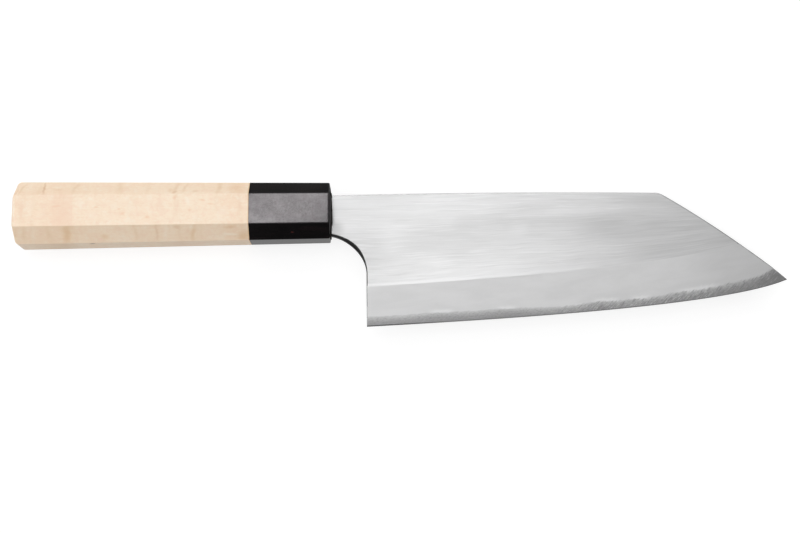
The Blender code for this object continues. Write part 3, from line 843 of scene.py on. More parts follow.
def buildCladding(name, side):
    onCore = [innerHeight(*place) for place in coreLine]
    onBevel = [outerHeight(*place) for place in bevelLine]
    onAbove = [outerHeight(*place) for place in aboveRidge]
    onBelow = []
    crown = bladeSize["bevelCrown"]
    for core, below, bevel, low, high in zip(coreLine, belowRidge, bevelLine, onCore, onBevel):
        up = (below - core).length / (bevel - core).length
        onBelow.append(low + (high - low) * up + crown * fullness(up))
    bevelRows = bladeSize["bevelRows"]
    rows = bladeRows((coreLine, onCore), (belowRidge, onBelow), bevelRows, crown * bladeSize["crownBelow"])
    rows += bladeRows((belowRidge, onBelow), (bevelLine, onBevel), 1)[1:]
    rows += bladeRows((bevelLine, onBevel), (aboveRidge, onAbove), 1)[1:]
    plan = planOf(rows, outerHeight)
    points, base = plan[:2]
    inner = innerHeight(*points.T)
    eased, finishes = easeDrop(points)
    top = base - np.minimum(eased, (base - inner) * easing["cladShare"])
    columns = len(shares)
    top[:columns] = inner[:columns]

    def finishOf(kind, face):
        if kind == "wall":
            return int(finishes[face[0]]) or finishNumber["dark"]
        onRim = [corner for corner in face if eased[corner] > easing["least"]]
        if len(onRim) == len(face) or (kind < 0 and onRim):
            return int(finishes[onRim[0]])
        return finishNumber["bevel" if 0 <= kind <= bevelRows else "flat"]

    return layerSolid(name, plan, top, inner, finishOf, side=side)


def buildCore():
    onCore = [corePlane(*place) for place in coreLine]
    finalLine = []
    for edge, core in zip(edgeLine, coreLine):
        width = min(bladeSize["finalBevel"], (core - edge).length * bladeSize["finalShare"])
        finalLine.append(edge + (core - edge).normalized() * width)
    columns = len(shares)
    flatEdge = [bladeSize["edgeHalf"]] * columns
    onFinal = [bladeSize["finalBevelHeight"]] * columns
    rows = bladeRows((edgeLine, flatEdge), (finalLine, onFinal), 1)
    rows += bladeRows((finalLine, onFinal), (coreLine, onCore), bladeSize["coreRows"])[1:]
    plan = planOf(rows, corePlane)
    points, base = plan[:2]
    eased, finishes = easeDrop(points)
    drops = np.minimum(eased, base * easing["coreShare"])
    drops[len(rows) * columns:] = 0.0       # hidden between the claddings

    def finishOf(kind, face):
        if kind == "wall":
            return int(finishes[face[0]]) or finishNumber["dark"]
        return finishNumber["edge" if kind == 0 else "bevel" if kind > 0 else "flat"]

    sharp = [range(columns), range(columns, 2 * columns)]
    return layerSolid("bladeCore", plan, base - drops, drops - base, finishOf, sharp)


bladeCore = buildCore()
rightCladding = buildCladding("rightCladding", 1.0)
leftCladding = buildCladding("leftCladding", -1.0)
standFor(bladeCore, "core_steel")
standFor(rightCladding, "cladding_right")
standFor(leftCladding, "cladding_left")
bladeFaces = sum(len(piece.data.polygons) for piece in (bladeCore, rightCladding, leftCladding))
print("blade: core and two claddings,", bladeFaces, "faces")


# Handle and ferrule: their sizes, then the maple and the horn

handleSize = {
    "Height": 0.0258, "Thickness": 0.0196, "Slant Rise": 0.0064, "Slant Depth": 0.0045,
    "Front Height": 0.0231, "Front Thickness": 0.0190, "Front Rise": 0.00545, "Front Depth": 0.0051,
}
handleTrim = {
    "arris": 0.045,             # rounding of the long edges, in the ring's own unit
    "dome": 0.0022,             # how far the butt bulges
    "mouthDome": 0.0006,        # the same for the ferrule's mouth
    "buttEasing": 0.00130,
    "jointEasing": 0.00004,
    "mouthEasing": 0.00048,
    "boreGap": 0.0001,
    "seam": 0.00003,            # hairline between the maple and the horn
    "capRings": 16, "easingRings": 5, "bodyRings": 60, "mouthRings": 8, "jointRings": 3,
}


# The maple's figure is listed mark by mark: millimetres from the butt and from the axis, half
# length, half height, turn in degrees, strength and tone.

maple = {
    "tones": {
        "pale": rgb(253, 233, 209), "peach": rgb(249, 222, 195), "tan": rgb(226, 192, 152),
        "brown": rgb(214, 172, 128), "orange": rgb(234, 182, 134), "pink": rgb(246, 214, 190),
        "light": rgb(255, 243, 226), "dark": rgb(98, 68, 48), "amber": rgb(222, 178, 122),
    },
    "fibres": {                 # these run straight
        "waver": {"scale": (90.0, 240.0, 240.0)},
        "fibre": {"scale": (60.0, 1500.0, 1500.0), "detail": 4.0, "roughness": 0.6},
        "pores": {"scale": (380.0, 2600.0, 2600.0)},
    },
    "waverReach": 0.0030,
    "figure": {                 # these bend with the waver
        "curl": {"scale": (330.0, 60.0, 60.0), "turn": 0.12, "detail": 3.0, "roughness": 0.55},
        "quilt": {"scale": (260.0, 330.0, 330.0)},
        "broad": {"scale": (75.0, 40.0, 40.0), "shift": (1.7, 0.0, 0.0)},
        "mottle": {"scale": (700.0, 950.0, 950.0), "detail": 3.0, "roughness": 0.6},
    },
    "layers": (                 # pattern, from, to, strength, tone
        ("broad", 0.38, 0.68, 0.60, "peach"), ("curl", 0.48, 0.70, 0.12, "tan"),
        ("quilt", 0.52, 0.70, 0.30, "pink"), ("quilt", 0.46, 0.30, 0.30, "light"),
        ("fibre", 0.48, 0.78, 0.14, "tan"), ("pores", 0.60, 0.76, 0.22, "tan"),
        ("mottle", 0.50, 0.68, 0.28, "pink"), ("mottle", 0.48, 0.32, 0.28, "light"),
    ),
    "onSide": (
        (2.2, 0.0, 0.9, 7.0, 4, 0.45, "light"), (5.4, 0.5, 1.7, 7.0, 4, 0.40, "pink"),
        (9.0, 1.0, 2.2, 6.0, -6, 0.25, "light"), (14.8, 0.4, 1.6, 6.0, 6, 0.22, "pink"),
        (22.0, -1.5, 4.5, 6.4, 0, 0.42, "pink"), (19.6, 1.6, 3.4, 0.6, 4, 0.35, "orange"),
        (28.8, 2.6, 2.2, 3.2, 10, 0.35, "light"), (33.0, -2.4, 3.4, 2.6, 0, 0.25, "light"),
        (35.0, 1.1, 1.3, 0.6, 5, 0.38, "orange"), (41.0, -0.5, 1.4, 5.5, 8, 0.22, "pink"),
        (44.6, 0.2, 1.2, 0.6, 0, 0.32, "orange"), (46.1, -1.6, 2.0, 0.8, 24, 0.30, "orange"),
        (49.0, 1.0, 2.0, 5.5, -8, 0.22, "light"), (51.8, 0.0, 0.8, 6.0, 4, 0.30, "pink"),
        (55.7, -3.2, 1.4, 0.8, 0, 0.38, "orange"), (57.6, 0.5, 0.8, 6.2, 2, 0.32, "pink"),
        (60.8, 1.0, 2.4, 5.5, 16, 0.40, "pink"), (66.8, 4.8, 2.0, 1.2, 50, 0.32, "orange"),
        (67.4, 0.5, 1.5, 5.0, -8, 0.32, "pink"), (72.0, 3.2, 1.2, 2.8, 14, 0.55, "light"),
        (72.4, -0.5, 1.3, 0.8, 15, 0.36, "orange"), (75.0, 0.0, 1.0, 5.8, 6, 0.25, "pink"),
        (77.5, 3.6, 1.9, 0.7, -8, 0.38, "orange"), (81.0, 2.0, 3.6, 0.7, -10, 0.28, "orange"),
        (86.0, -1.2, 3.4, 3.0, 0, 0.28, "light"), (92.6, 0.8, 0.9, 4.2, 8, 0.30, "pink"),
    ),
    "onUpper": (
        (5.0, 9.3, 0.8, 4.4, -24, 0.42, "tan"), (3.0, 8.0, 0.6, 4.0, -24, 0.35, "tan"),
        (13.4, 9.6, 0.8, 5.0, 2, 0.62, "brown"), (11.9, 9.0, 1.6, 5.0, -10, 0.22, "tan"),
        (19.3, 8.8, 3.0, 0.6, 2, 0.35, "tan"), (19.3, 10.0, 3.2, 0.6, 2, 0.45, "light"),
        (26.1, 9.2, 1.2, 5.0, -22, 0.38, "tan"), (38.0, 10.6, 3.2, 2.6, 0, 0.26, "pink"),
        (44.0, 9.4, 2.2, 5.0, -6, 0.24, "tan"), (55.5, 9.0, 1.6, 5.0, -8, 0.20, "tan"),
        (64.6, 8.0, 1.2, 1.8, 0, 0.40, "tan"), (66.6, 9.4, 1.5, 5.0, -14, 0.40, "tan"),
        (66.4, 7.2, 1.6, 1.0, 30, 0.50, "brown"), (70.2, 9.2, 1.1, 5.0, -22, 0.38, "tan"),
        (74.6, 7.6, 2.2, 0.9, 0, 0.35, "tan"), (83.9, 9.4, 1.5, 5.0, -10, 0.45, "tan"),
        (91.0, 9.0, 4.4, 5.0, 0, 0.22, "amber"),
    ),
    "onLower": (
        (2.6, -9.4, 2.2, 5.0, 0, 0.30, "tan"), (6.4, -9.4, 1.8, 5.0, 0, 0.26, "tan"),
        (10.0, -9.6, 1.6, 5.0, 0, 0.22, "light"), (16.4, -9.4, 1.8, 5.0, 4, 0.24, "tan"),
        (23.3, -9.6, 2.6, 5.0, -4, 0.50, "amber"), (24.0, -7.4, 4.4, 2.4, 0, 0.30, "tan"),
        (36.4, -11.2, 1.5, 0.9, 0, 0.70, "pink"), (38.5, -10.4, 2.6, 1.4, 0, 0.34, "amber"),
        (51.0, -9.4, 1.2, 5.0, 4, 0.26, "tan"), (59.0, -9.0, 0.9, 5.0, 4, 0.26, "brown"),
        (62.6, -9.4, 1.6, 5.0, 0, 0.22, "light"), (67.6, -7.2, 3.0, 1.2, -16, 0.42, "tan"),
        (74.1, -9.6, 1.5, 5.0, -6, 0.42, "amber"), (80.0, -9.0, 3.0, 5.0, 0, 0.20, "pink"),
        (88.5, -7.4, 3.6, 0.9, 2, 0.36, "amber"), (88.5, -9.8, 4.2, 0.7, -2, 0.45, "light"),
        (93.6, -10.6, 4.0, 2.4, 20, 0.40, "amber"),
    ),
    "onStrips": (
        (20.0, -12.7, 8.0, 1.2, 0, 0.25, "tan"), (70.0, -12.5, 12.0, 1.2, 0, 0.25, "pink"),
    ),
    # how far each facet's colour is mixed towards tan: painted shade that darkens the chamfers and strips;
    # their figure marks are the wood's own
    "facetShadeTan": {"onUpper": 0.16, "onLower": 0.20, "onStrips": 0.02},
    "masks": {"patchStart": ("x", 0.0140, 0.0190), "patchEnd": ("x", 0.0260, 0.0255)},
    "marks": (("pink", 0.35, "patchStart", "patchEnd"),),       # a patch with a sharp right end
    "fleck": ((0.0330, -0.0128, 0.0036), (0.0017, 0.0012, 0.0007)),
    "fleckStrength": 0.8,
    "joint": (0.0006, 0.0001, 0.50),    # darker: from and to before the joint, strength
    "stripDepth": 0.00025,              # how far below the handle's top the strips start
    "polish": (0.42, 0.52), "bump": (0.25, 0.00004),
}


def addFigure(tree, colour, place, marks):
    for x, y, length, height, turn, strength, tone in marks:
        centre = (x / 1000, y / 1000, 0.0)
        here = spot(tree, place, centre, (length / 1000, height / 1000, 1.0), turn)
        colour = tint(tree, colour, maple["tones"][tone], strength, here)
    return colour


def makeMaple():
    finish, tree, shader = newFinish("figuredMaple", 0.46, Specular_IOR_Level=0.30)
    tones = maple["tones"]
    place = knifePoint(tree)
    x, y, z = splitPoint(tree, place)
    patterns = noises(tree, place, maple["fibres"])
    figure = joinPoint(tree, sway(tree, x, patterns["waver"], maple["waverReach"]), y, z)
    patterns.update(noises(tree, figure, maple["figure"]), x=x)
    colour = layerBy(tree, tones["pale"], patterns, maple["layers"], tones.get)
    side = addFigure(tree, colour, figure, maple["onSide"])
    side = markBy(tree, side, patterns, maple, tones.get)
    # each facet: its own figure over the painted-shade mix towards tan
    facets = {}
    for facet, share in maple["facetShadeTan"].items():
        facets[facet] = addFigure(tree, mixColour(tree, share, colour, tones["tan"]), figure, maple[facet])
    fleck = spot(tree, place, *maple["fleck"], core=0.25)
    strips = tint(tree, facets["onStrips"], tones["dark"], maple["fleckStrength"], fleck)

    # The facets are told apart by height, which falls towards the ferrule as the handle tapers
    taper = calc(tree, "MULTIPLY", x, 1 / mouthX)
    butt, front = handleSize["Height"] / 2, handleSize["Front Height"] / 2
    buttSide, frontSide = butt - handleSize["Slant Rise"], front - handleSize["Front Rise"]
    top = calc(tree, "MULTIPLY_ADD", taper, front - butt, butt - maple["stripDepth"])
    sideEnd = calc(tree, "MULTIPLY_ADD", taper, frontSide - buttSide, buttSide)
    below = calc(tree, "MULTIPLY", sideEnd, -1.0)
    colour = mixColour(tree, calc(tree, "GREATER_THAN", y, sideEnd), side, facets["onUpper"])
    colour = mixColour(tree, calc(tree, "LESS_THAN", y, below), colour, facets["onLower"])
    onStrip = calc(tree, "GREATER_THAN", calc(tree, "ABSOLUTE", y), top)
    colour = mixColour(tree, onStrip, colour, strips)
    start, end, strength = maple["joint"]
    atJoint = fade(tree, x, jointX - start, jointX - end)
    colour = tint(tree, colour, tones["amber"], strength, atJoint)
    wire(tree, shader, (patterns["fibre"], *maple["bump"]), Base_Color=colour,
         Roughness=polishBy(tree, patterns["fibre"], maple))
    return finish


horn = {
    "grain": {
        "streaks": {"scale": (60.0, 420.0, 420.0), "detail": 4.0, "roughness": 0.6, "distortion": 0.5},
        "clouds": {"scale": 260.0, "detail": 3.0, "roughness": 0.6},
        "blotches": {"scale": 520.0, "detail": 3.0, "roughness": 0.6},
        "sheen": {"scale": 1500.0, "detail": 3.0, "roughness": 0.65},
    },
    "black": (0.0010, 0.0007, 0.0008, 1.0),
    "tones": {"streak": (0.0065, 0.0034, 0.0038, 1.0), "blush": (0.016, 0.006, 0.010, 1.0),
              "red": (0.055, 0.014, 0.012, 1.0)},
    "masks": {"streaks": ("streaks", 0.45, 0.75), "blotches": ("blotches", 0.50, 0.62),
              "onSide": ("height", 0.0064, 0.0058)},
    # the pink blotches are kept to the lit side facet: a painted tint of its reflection, over the horn's own
    # faint red
    "marks": (("streak", 1.0, "streaks"), ("red", 0.8, "speck"), ("blush", 0.8, "blotches", "onSide")),
    "speck": ((0.1135, -0.0093, 0.0), (0.0009, 0.0004, 1.0)),
    "gloss": ("sheen", 0.36, 0.64, 0.46, 0.55),
    "glossier": (               # pattern, from, to, and how much it adds
        ("x", jointX + 0.013, jointX + 0.001, 0.08), ("y", 0.0025, 0.0058, 0.05),
    ),
    "corner": (("x", mouthX - 0.010, mouthX - 0.002), ("y", 0.0058, 0.0064)),
    "cornerGloss": -0.22,       # duller on the upper slant, towards the mouth
    "mouth": ("x", mouthX - 0.0008, mouthX - 0.0004),
    "mouthRoughness": 0.40, "mouthGloss": -0.35,    # what the mouth's end adds
    "polish": (0.11, 0.15), "bump": (0.05, 0.00002),
}


def makeHorn():
    finish, tree, shader = newFinish("blackHorn", 0.12, Specular_IOR_Level=0.5,
                                     Specular_Tint=(1.0, 0.955, 0.975, 1.0))
    place = knifePoint(tree)
    x, y, _ = splitPoint(tree, place)
    patterns = noises(tree, place, horn["grain"])
    patterns.update(x=x, y=y, height=calc(tree, "ABSOLUTE", y))
    speck = spot(tree, place, *horn["speck"], core=0.25)
    colour = markBy(tree, horn["black"], patterns, horn, horn["tones"].get, speck=speck)
    gloss = fadeBy(tree, patterns, *horn["gloss"])
    for *limits, more in horn["glossier"]:
        gloss = calc(tree, "ADD", gloss, fadeBy(tree, patterns, *limits, 0.0, more))
    atCorner = product(tree, *[fadeBy(tree, patterns, *limits) for limits in horn["corner"]])
    gloss = calc(tree, "MULTIPLY_ADD", atCorner, horn["cornerGloss"], gloss)
    atMouth = fadeBy(tree, patterns, *horn["mouth"])
    relief = calc(tree, "ADD", patterns["streaks"], patterns["clouds"])
    polish = polishBy(tree, patterns["clouds"], horn)
    wire(tree, shader, (relief, *horn["bump"]), Base_Color=colour,
         Roughness=calc(tree, "MULTIPLY_ADD", atMouth, horn["mouthRoughness"], polish),
         Specular_IOR_Level=calc(tree, "MULTIPLY_ADD", atMouth, horn["mouthGloss"], gloss))
    return finish


mapleFinish = makeMaple()
hornFinish = makeHorn()
print("maple and horn made")


# Shape of the handle and the ferrule. One Geometry Nodes tree lofts a tapered octagon along the
# axis. The swept ring has half sizes of 1 with corners cut at 0.5; the tree gives it real sizes.

tangSlot = {  # the slot for the tang and the neck's pocket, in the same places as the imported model's
    "endX": 0.0346, "endY": 0.0032, "endZ": 0.0019, "stepX": mouthX - 0.0067, "stepY": dowelRadius - 0.0016,
    "stepZ": 0.0026, "pocketZ": 0.00265, "pocketLow": -0.01055, "pocketHigh": 0.0076, "pastMouth": 0.004,
}
railValues = ("buttTurn", "bodyShare", "frontTurn")     # kept on the rail while it is swept


def makeHandleTree():
    tree = bpy.data.node_groups.new("taperedOctagon", "GeometryNodeTree")
    sockets = {}
    for kind, labels in (
            ("Float", ("Start", "End", "Arris", "Dome", "Front Dome", "Easing", "Front Easing", "Full Length",
                       *handleSize)),
            ("Int", ("Cap Rings", "Easing Rings", "Body Rings", "Front Rings")),
            ("Material", ("Finish",))):
        for label in labels:
            sockets[label] = tree.interface.new_socket(name=label, in_out="INPUT",
                                                       socket_type="NodeSocket" + kind)
    tree.interface.new_socket(name="Geometry", in_out="OUTPUT", socket_type="NodeSocketGeometry")
    given = addNode(tree, "NodeGroupInput").outputs

    def work(operation, *values, **settings):
        return calc(tree, operation, *values, **settings)

    # Rings in their order: the butt's cap, its easing, the body, the front's easing, its cap
    ring = addNode(tree, "GeometryNodeInputIndex").outputs["Index"]
    buttEnd = work("ADD", given["Cap Rings"], given["Easing Rings"])
    bodyEnd = work("ADD", buttEnd, given["Body Rings"])
    frontEnd = work("ADD", bodyEnd, given["Easing Rings"])
    total = work("ADD", work("ADD", frontEnd, given["Front Rings"]), 1.0)

    def shareOf(count, start):  # how far along its own stretch a ring is, 0 to 1
        return work("DIVIDE", work("SUBTRACT", ring, start), given[count], clamp=True)

    def lag(operation, turn):  # 1 less the turn's sine or cosine
        return work("SUBTRACT", 1.0, work(operation, turn))

    capShare, bodyShare = shareOf("Cap Rings", 0.0), shareOf("Body Rings", buttEnd)
    frontShare = shareOf("Front Rings", frontEnd)
    buttTurn = work("MULTIPLY", shareOf("Easing Rings", given["Cap Rings"]), math.radians(90))
    frontTurn = work("MULTIPLY", shareOf("Easing Rings", bodyEnd), math.radians(90))
    buttInset = work("MULTIPLY", given["Easing"], lag("SINE", buttTurn))
    frontInset = work("MULTIPLY", given["Front Easing"], lag("COSINE", frontTurn))
    halfHeight = work("DIVIDE", given["Height"], 2.0)
    inset = work("DIVIDE", work("ADD", buttInset, frontInset), halfHeight)
    capRadius = work("MULTIPLY", work("MAXIMUM", capShare, 0.001),
                     work("MAXIMUM", work("SUBTRACT", 1.0, frontShare), 0.001))
    radius = work("MULTIPLY", work("SUBTRACT", 1.0, inset), capRadius)

    line = addNode(tree, "GeometryNodeMeshLine", {"Count": total, "Offset": (1.0, 0.0, 0.0)})
    rail = addNode(tree, "GeometryNodeMeshToCurve", {"Mesh": line.outputs["Mesh"]}).outputs["Curve"]
    kept = {}
    for label, value in zip(railValues, (buttTurn, bodyShare, frontTurn)):
        rail = addNode(tree, "GeometryNodeStoreNamedAttribute", {
            "Geometry": rail, "Name": label, "Value": value}, data_type="FLOAT",
            domain="POINT").outputs["Geometry"]
        kept[label] = addNode(tree, "GeometryNodeInputNamedAttribute", {"Name": label},
                              data_type="FLOAT").outputs["Attribute"]
    octagon = addNode(tree, "GeometryNodeCurvePrimitiveQuadrilateral",
                      {"Width": 2.0, "Height": 2.0}).outputs["Curve"]
    for count, cut in ((1, 0.5), (4, given["Arris"])):
        octagon = addNode(tree, "GeometryNodeFilletCurve", {
            "Curve": octagon, "Count": count, "Radius": cut}, mode="POLY").outputs["Curve"]
    sweep = addNode(tree, "GeometryNodeCurveToMesh", {
        "Curve": rail, "Profile Curve": octagon, "Scale": radius, "Fill Caps": True}).outputs["Mesh"]
    here = splitPoint(tree, addNode(tree, "GeometryNodeInputPosition").outputs["Position"])

    def realSize(axis, half, cut):  # the ring's unit size to metres
        size = work("ABSOLUTE", here[axis])
        flat = work("MULTIPLY", work("MINIMUM", size, 0.5), work("SUBTRACT", half, cut))
        slant = work("MULTIPLY", work("MAXIMUM", work("SUBTRACT", size, 0.5), 0.0), cut)
        both = work("MULTIPLY", work("ADD", flat, slant), 2.0)
        return work("MULTIPLY", both, work("SIGN", here[axis]))

    def between(butt, front, share):
        return work("MULTIPLY_ADD", work("SUBTRACT", given[front], given[butt]), share, given[butt])

    def bulgeOf(dome, height, thickness, rise, depth):  # how far a domed end lies back at each point
        half = work("DIVIDE", given[height], 2.0)
        y = realSize("Y", half, given[rise])
        z = realSize("Z", work("DIVIDE", given[thickness], 2.0), given[depth])
        across = work("ADD", work("POWER", y, 2.0), work("POWER", z, 2.0))
        return work("MULTIPLY", across, work("DIVIDE", given[dome], work("POWER", half, 2.0)))

    bulge = bulgeOf("Dome", "Height", "Thickness", "Slant Rise", "Slant Depth")
    frontBulge = bulgeOf("Front Dome", "Front Height", "Front Thickness", "Front Rise", "Front Depth")
    eased = work("MULTIPLY", given["Easing"], lag("COSINE", kept["buttTurn"]))
    fromX = work("ADD", given["Start"], work("ADD", bulge, eased))
    toX = work("SUBTRACT", work("SUBTRACT", given["End"], given["Front Easing"]), frontBulge)
    alongX = work("MULTIPLY_ADD", work("SUBTRACT", toX, fromX), kept["bodyShare"], fromX)
    alongX = work("MULTIPLY_ADD", given["Front Easing"], work("SINE", kept["frontTurn"]), alongX)
    taper = work("DIVIDE", alongX, given["Full Length"])
    sized = []
    for axis, size, front, cut, frontCut in (
            ("Y", "Height", "Front Height", "Slant Rise", "Front Rise"),
            ("Z", "Thickness", "Front Thickness", "Slant Depth", "Front Depth")):
        half = work("DIVIDE", between(size, front, taper), 2.0)
        sized.append(realSize(axis, half, between(cut, frontCut, taper)))
    geometry = sweep
    for kind, inputs in (
            ("GeometryNodeSetPosition", {"Position": joinPoint(tree, alongX, *sized)}),
            ("GeometryNodeMergeByDistance", {"Distance": 0.00001}),
            ("GeometryNodeSetShadeSmooth", {}),
            ("GeometryNodeRealizeInstances", {}),
            ("GeometryNodeSetMaterial", {"Material": given["Finish"]})):
        geometry = addNode(tree, kind, {"Geometry": geometry, **inputs}).outputs["Geometry"]
    addNode(tree, "NodeGroupOutput", {"Geometry": geometry})
    return tree, sockets


def slotCutter():  # a closed body through rectangles (x, low y, high y, half z)
    slot = tangSlot
    rings = (
        (slot["endX"], -slot["endY"], slot["endY"], slot["endZ"]),
        (slot["stepX"], -slot["stepY"], slot["stepY"], slot["stepZ"]),
        (slot["stepX"], slot["pocketLow"], slot["pocketHigh"], slot["pocketZ"]),
        (mouthX + slot["pastMouth"], slot["pocketLow"], slot["pocketHigh"], slot["pocketZ"]),
    )
    bm = bmesh.new()
    loops = []
    for x, lowY, highY, halfZ in rings:
        corners = ((lowY, -halfZ), (highY, -halfZ), (highY, halfZ), (lowY, halfZ))
        loops.append([bm.verts.new((x, y, z)) for y, z in corners])
    joinRings(bm, loops)
    bm.faces.new(loops[0])
    bm.faces.new(loops[-1])
    bmesh.ops.recalc_face_normals(bm, faces=bm.faces)
    return addObject("tangSlot", toMesh(bm, "tangSlot"))


def boreCutter():
    gap = handleTrim["boreGap"]
    bm = bmesh.new()
    bmesh.ops.create_cone(bm, cap_ends=True, segments=64, radius1=dowelRadius + gap,
                          radius2=dowelRadius + gap, depth=dowelHigh.x - dowelLow.x + 2 * gap)
    bmesh.ops.rotate(bm, verts=bm.verts, matrix=Matrix.Rotation(math.radians(90), 3, "Y"))
    middle = (dowelLow.x + dowelHigh.x) / 2 - axisStart.x
    bmesh.ops.translate(bm, verts=bm.verts, vec=(middle, 0.0, 0.0))
    return addObject("dowelBore", toMesh(bm, "dowelBore"))


handleTree, treeSockets = makeHandleTree()


def buildOctagonPiece(name, finish, **settings):
    maker = addObject(name + "Tree", bpy.data.meshes.new(name + "Tree"))
    modifier = maker.modifiers.new("taperedOctagon", "NODES")
    modifier.node_group = handleTree
    common = {"Arris": handleTrim["arris"], "Full Length": mouthX, "Finish": finish,
              "Easing Rings": handleTrim["easingRings"], "Body Rings": handleTrim["bodyRings"]}
    own = {label.replace("_", " "): value for label, value in settings.items()}
    for label, value in {**handleSize, **common, **own}.items():
        modifier[treeSockets[label].identifier] = value
    cutters = [boreCutter(), slotCutter()]
    for cutter in cutters:
        cut = maker.modifiers.new(cutter.name, "BOOLEAN")
        cut.operation = "DIFFERENCE"
        cut.solver = "EXACT"
        cut.object = cutter
    mesh = evaluatedMesh(maker)
    for helper in [maker, *cutters]:
        bpy.data.objects.remove(helper, do_unlink=True)
    for label in railValues:
        if label in mesh.attributes:
            mesh.attributes.remove(mesh.attributes[label])
    mesh.materials.clear()
    mesh.shade_smooth()
    mesh.set_sharp_from_angle(angle=math.radians(40))
    return addPiece(name, mesh, [finish])


mapleHandle = buildOctagonPiece(
    "mapleHandle", mapleFinish, Start=0.0, End=jointX,
    Dome=handleTrim["dome"], Easing=handleTrim["buttEasing"], Cap_Rings=handleTrim["capRings"],
    Front_Dome=0.0, Front_Easing=handleTrim["jointEasing"], Front_Rings=handleTrim["jointRings"])
hornFerrule = buildOctagonPiece(
    "hornFerrule", hornFinish, Start=jointX + handleTrim["seam"], End=mouthX,
    Dome=0.0, Easing=handleTrim["jointEasing"], Cap_Rings=handleTrim["jointRings"],
    Front_Dome=handleTrim["mouthDome"], Front_Easing=handleTrim["mouthEasing"],
    Front_Rings=handleTrim["mouthRings"])
standFor(mapleHandle, "handle_body")
standFor(hornFerrule, "ferrule")
print("handle and ferrule:", len(mapleHandle.data.polygons), len(hornFerrule.data.polygons), "faces")


# Seal: an uneven bead of dark filler round the neck, in the ferrule's mouth

sealLook = {
    "grain": {"scale": 2600.0, "detail": 3.0, "roughness": 0.6},
    "colours": ((0.010, 0.008, 0.007, 1.0), (0.070, 0.055, 0.048, 1.0)),
    "roughness": 0.42, "polish": (0.36, 0.52), "bump": (0.4, 0.0001),
    "sockets": {"Specular_IOR_Level": 0.15},
}
sealBead = {
    "aroundSteps": 200, "acrossSteps": 10,
    "overlap": 0.00060,         # how far the bead spreads over the horn
    "rise": 0.00032,            # how far it stands out of the mouth
    "waver": 0.00018,
    "spreadLumps": (700, 3.1),  # how fine the lumps are, and where the noise starts
    "riseLumps": (900, 8.4),
    "neckHalf": 0.00192,        # half the neck's thickness
    "neckGap": 0.00004,
    "wall": 0.0006,             # of the filler inside the mouth
    "lip": 0.0003,              # how deep in the mouth the bead starts
    "cornerRound": 0.0007,
    "cornerGrowth": (0.3, 900), # how its corners widen from tight ones, for each metre outwards
    "swell": (0.62, 0.12, 0.8), # share of a half turn, start and power of the bead's curve
    "atNeck": 0.55,             # share of the rise where it meets the neck
}


def sealPath(grow, step):  # a rounded rectangle round the neck, grown outwards
    low, high = bladeSize["neckBottom"] - grow, bladeSize["neckTop"] + grow
    half = sealBead["neckHalf"] + grow
    tight, growth = sealBead["cornerGrowth"]
    corner = min(sealBead["cornerRound"] * (tight + grow * growth), half * 0.95)
    straight = [high - low - 2 * corner, 2 * half - 2 * corner]
    arc = corner * math.pi / 2
    total = 2 * sum(straight) + 4 * arc
    along = (step / sealBead["aroundSteps"]) % 1.0 * total
    centres = ((half - corner, high - corner), (-half + corner, high - corner),
               (-half + corner, low + corner), (half - corner, low + corner))
    for index, (centreZ, centreY) in enumerate(centres):
        run = straight[index % 2]
        heading = math.pi / 2 * index
        sine, cosine = math.sin(heading), math.cos(heading)
        if along <= run:
            left = run - along
            return centreY + corner * sine - cosine * left, centreZ + corner * cosine + sine * left
        along -= run
        if along <= arc:
            angle = heading + along / corner
            return centreY + corner * math.sin(angle), centreZ + corner * math.cos(angle)
        along -= arc
    return sealPath(grow, 0)


def lumpAt(y, z, fineness, start):
    return unevenness.noise(Vector((y * fineness, z * fineness, start)))


def beadProfile(step):  # (x from the mouth, distance from the neck) from deep inside, over the bead
    inner, wall = sealBead["neckGap"], sealBead["wall"]
    place = sealPath(inner, step)
    spread = wall + sealBead["overlap"] * 0.5 * (1 + lumpAt(*place, *sealBead["spreadLumps"]))
    rise = sealBead["rise"] + sealBead["waver"] * lumpAt(*place, *sealBead["riseLumps"])
    turn, start, power = sealBead["swell"]
    profile = [(-sealBead["lip"], wall)]
    for share in stepped(sealBead["acrossSteps"]):
        swell = math.sin(math.pi * (1 - share) * turn + start) ** power if share < 1 else sealBead["atNeck"]
        profile.append((rise * swell, spread * (1 - share) + inner * share))
    return profile


def buildSeal():
    bm = bmesh.new()
    rings = []
    depth = sealHigh.x - sealLow.x
    halfFront = handleSize["Front Height"] / 2
    for step in range(sealBead["aroundSteps"]):
        ring = []
        for grow in (sealBead["neckGap"], sealBead["wall"]):
            ring.append(bm.verts.new((mouthX - depth, *sealPath(grow, step))))
        for x, grow in beadProfile(step):
            y, z = sealPath(grow, step)
            back = handleTrim["mouthDome"] * (y * y + z * z) / halfFront**2
            ring.append(bm.verts.new((mouthX + x - back, y, z)))
        rings.append(ring)
    joinRings(bm, [rings[-1], *rings])
    bmesh.ops.recalc_face_normals(bm, faces=bm.faces)
    mesh = toMesh(bm, "mouthBead")
    mesh.shade_smooth()
    mesh.set_sharp_from_angle(angle=math.radians(60))
    return addPiece("mouthBead", mesh, [makePlain("mouthFiller", sealLook)])


mouthBead = buildSeal()
standFor(mouthBead, "mouth_seal")


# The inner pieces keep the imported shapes

dowelLook = {
    "grain": {"scale": (60.0, 800.0, 800.0), "detail": 4.0, "roughness": 0.6},
    "colours": (rgb(158, 118, 78), rgb(196, 158, 116)),
    "roughness": 0.6, "bump": (0.3, 0.0001), "sockets": {},
}
resinLook = {
    "grain": {"scale": 300.0, "detail": 3.0},
    "colours": (rgb(178, 150, 92), rgb(214, 192, 140)),
    "roughness": 0.3, "bump": (0.2, 0.0001), "sockets": {},
}
for node, finish in (("handle_dowel", makePlain("dowelWood", dowelLook)),
                     ("tang_adhesive", makePlain("tangResin", resinLook))):
    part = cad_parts[node]
    if not part.material_slots:
        part.data.materials.append(finish)
    for slot in part.material_slots:
        slot.material = finish
print("seal made, inner pieces dressed")


# Floor, light and camera

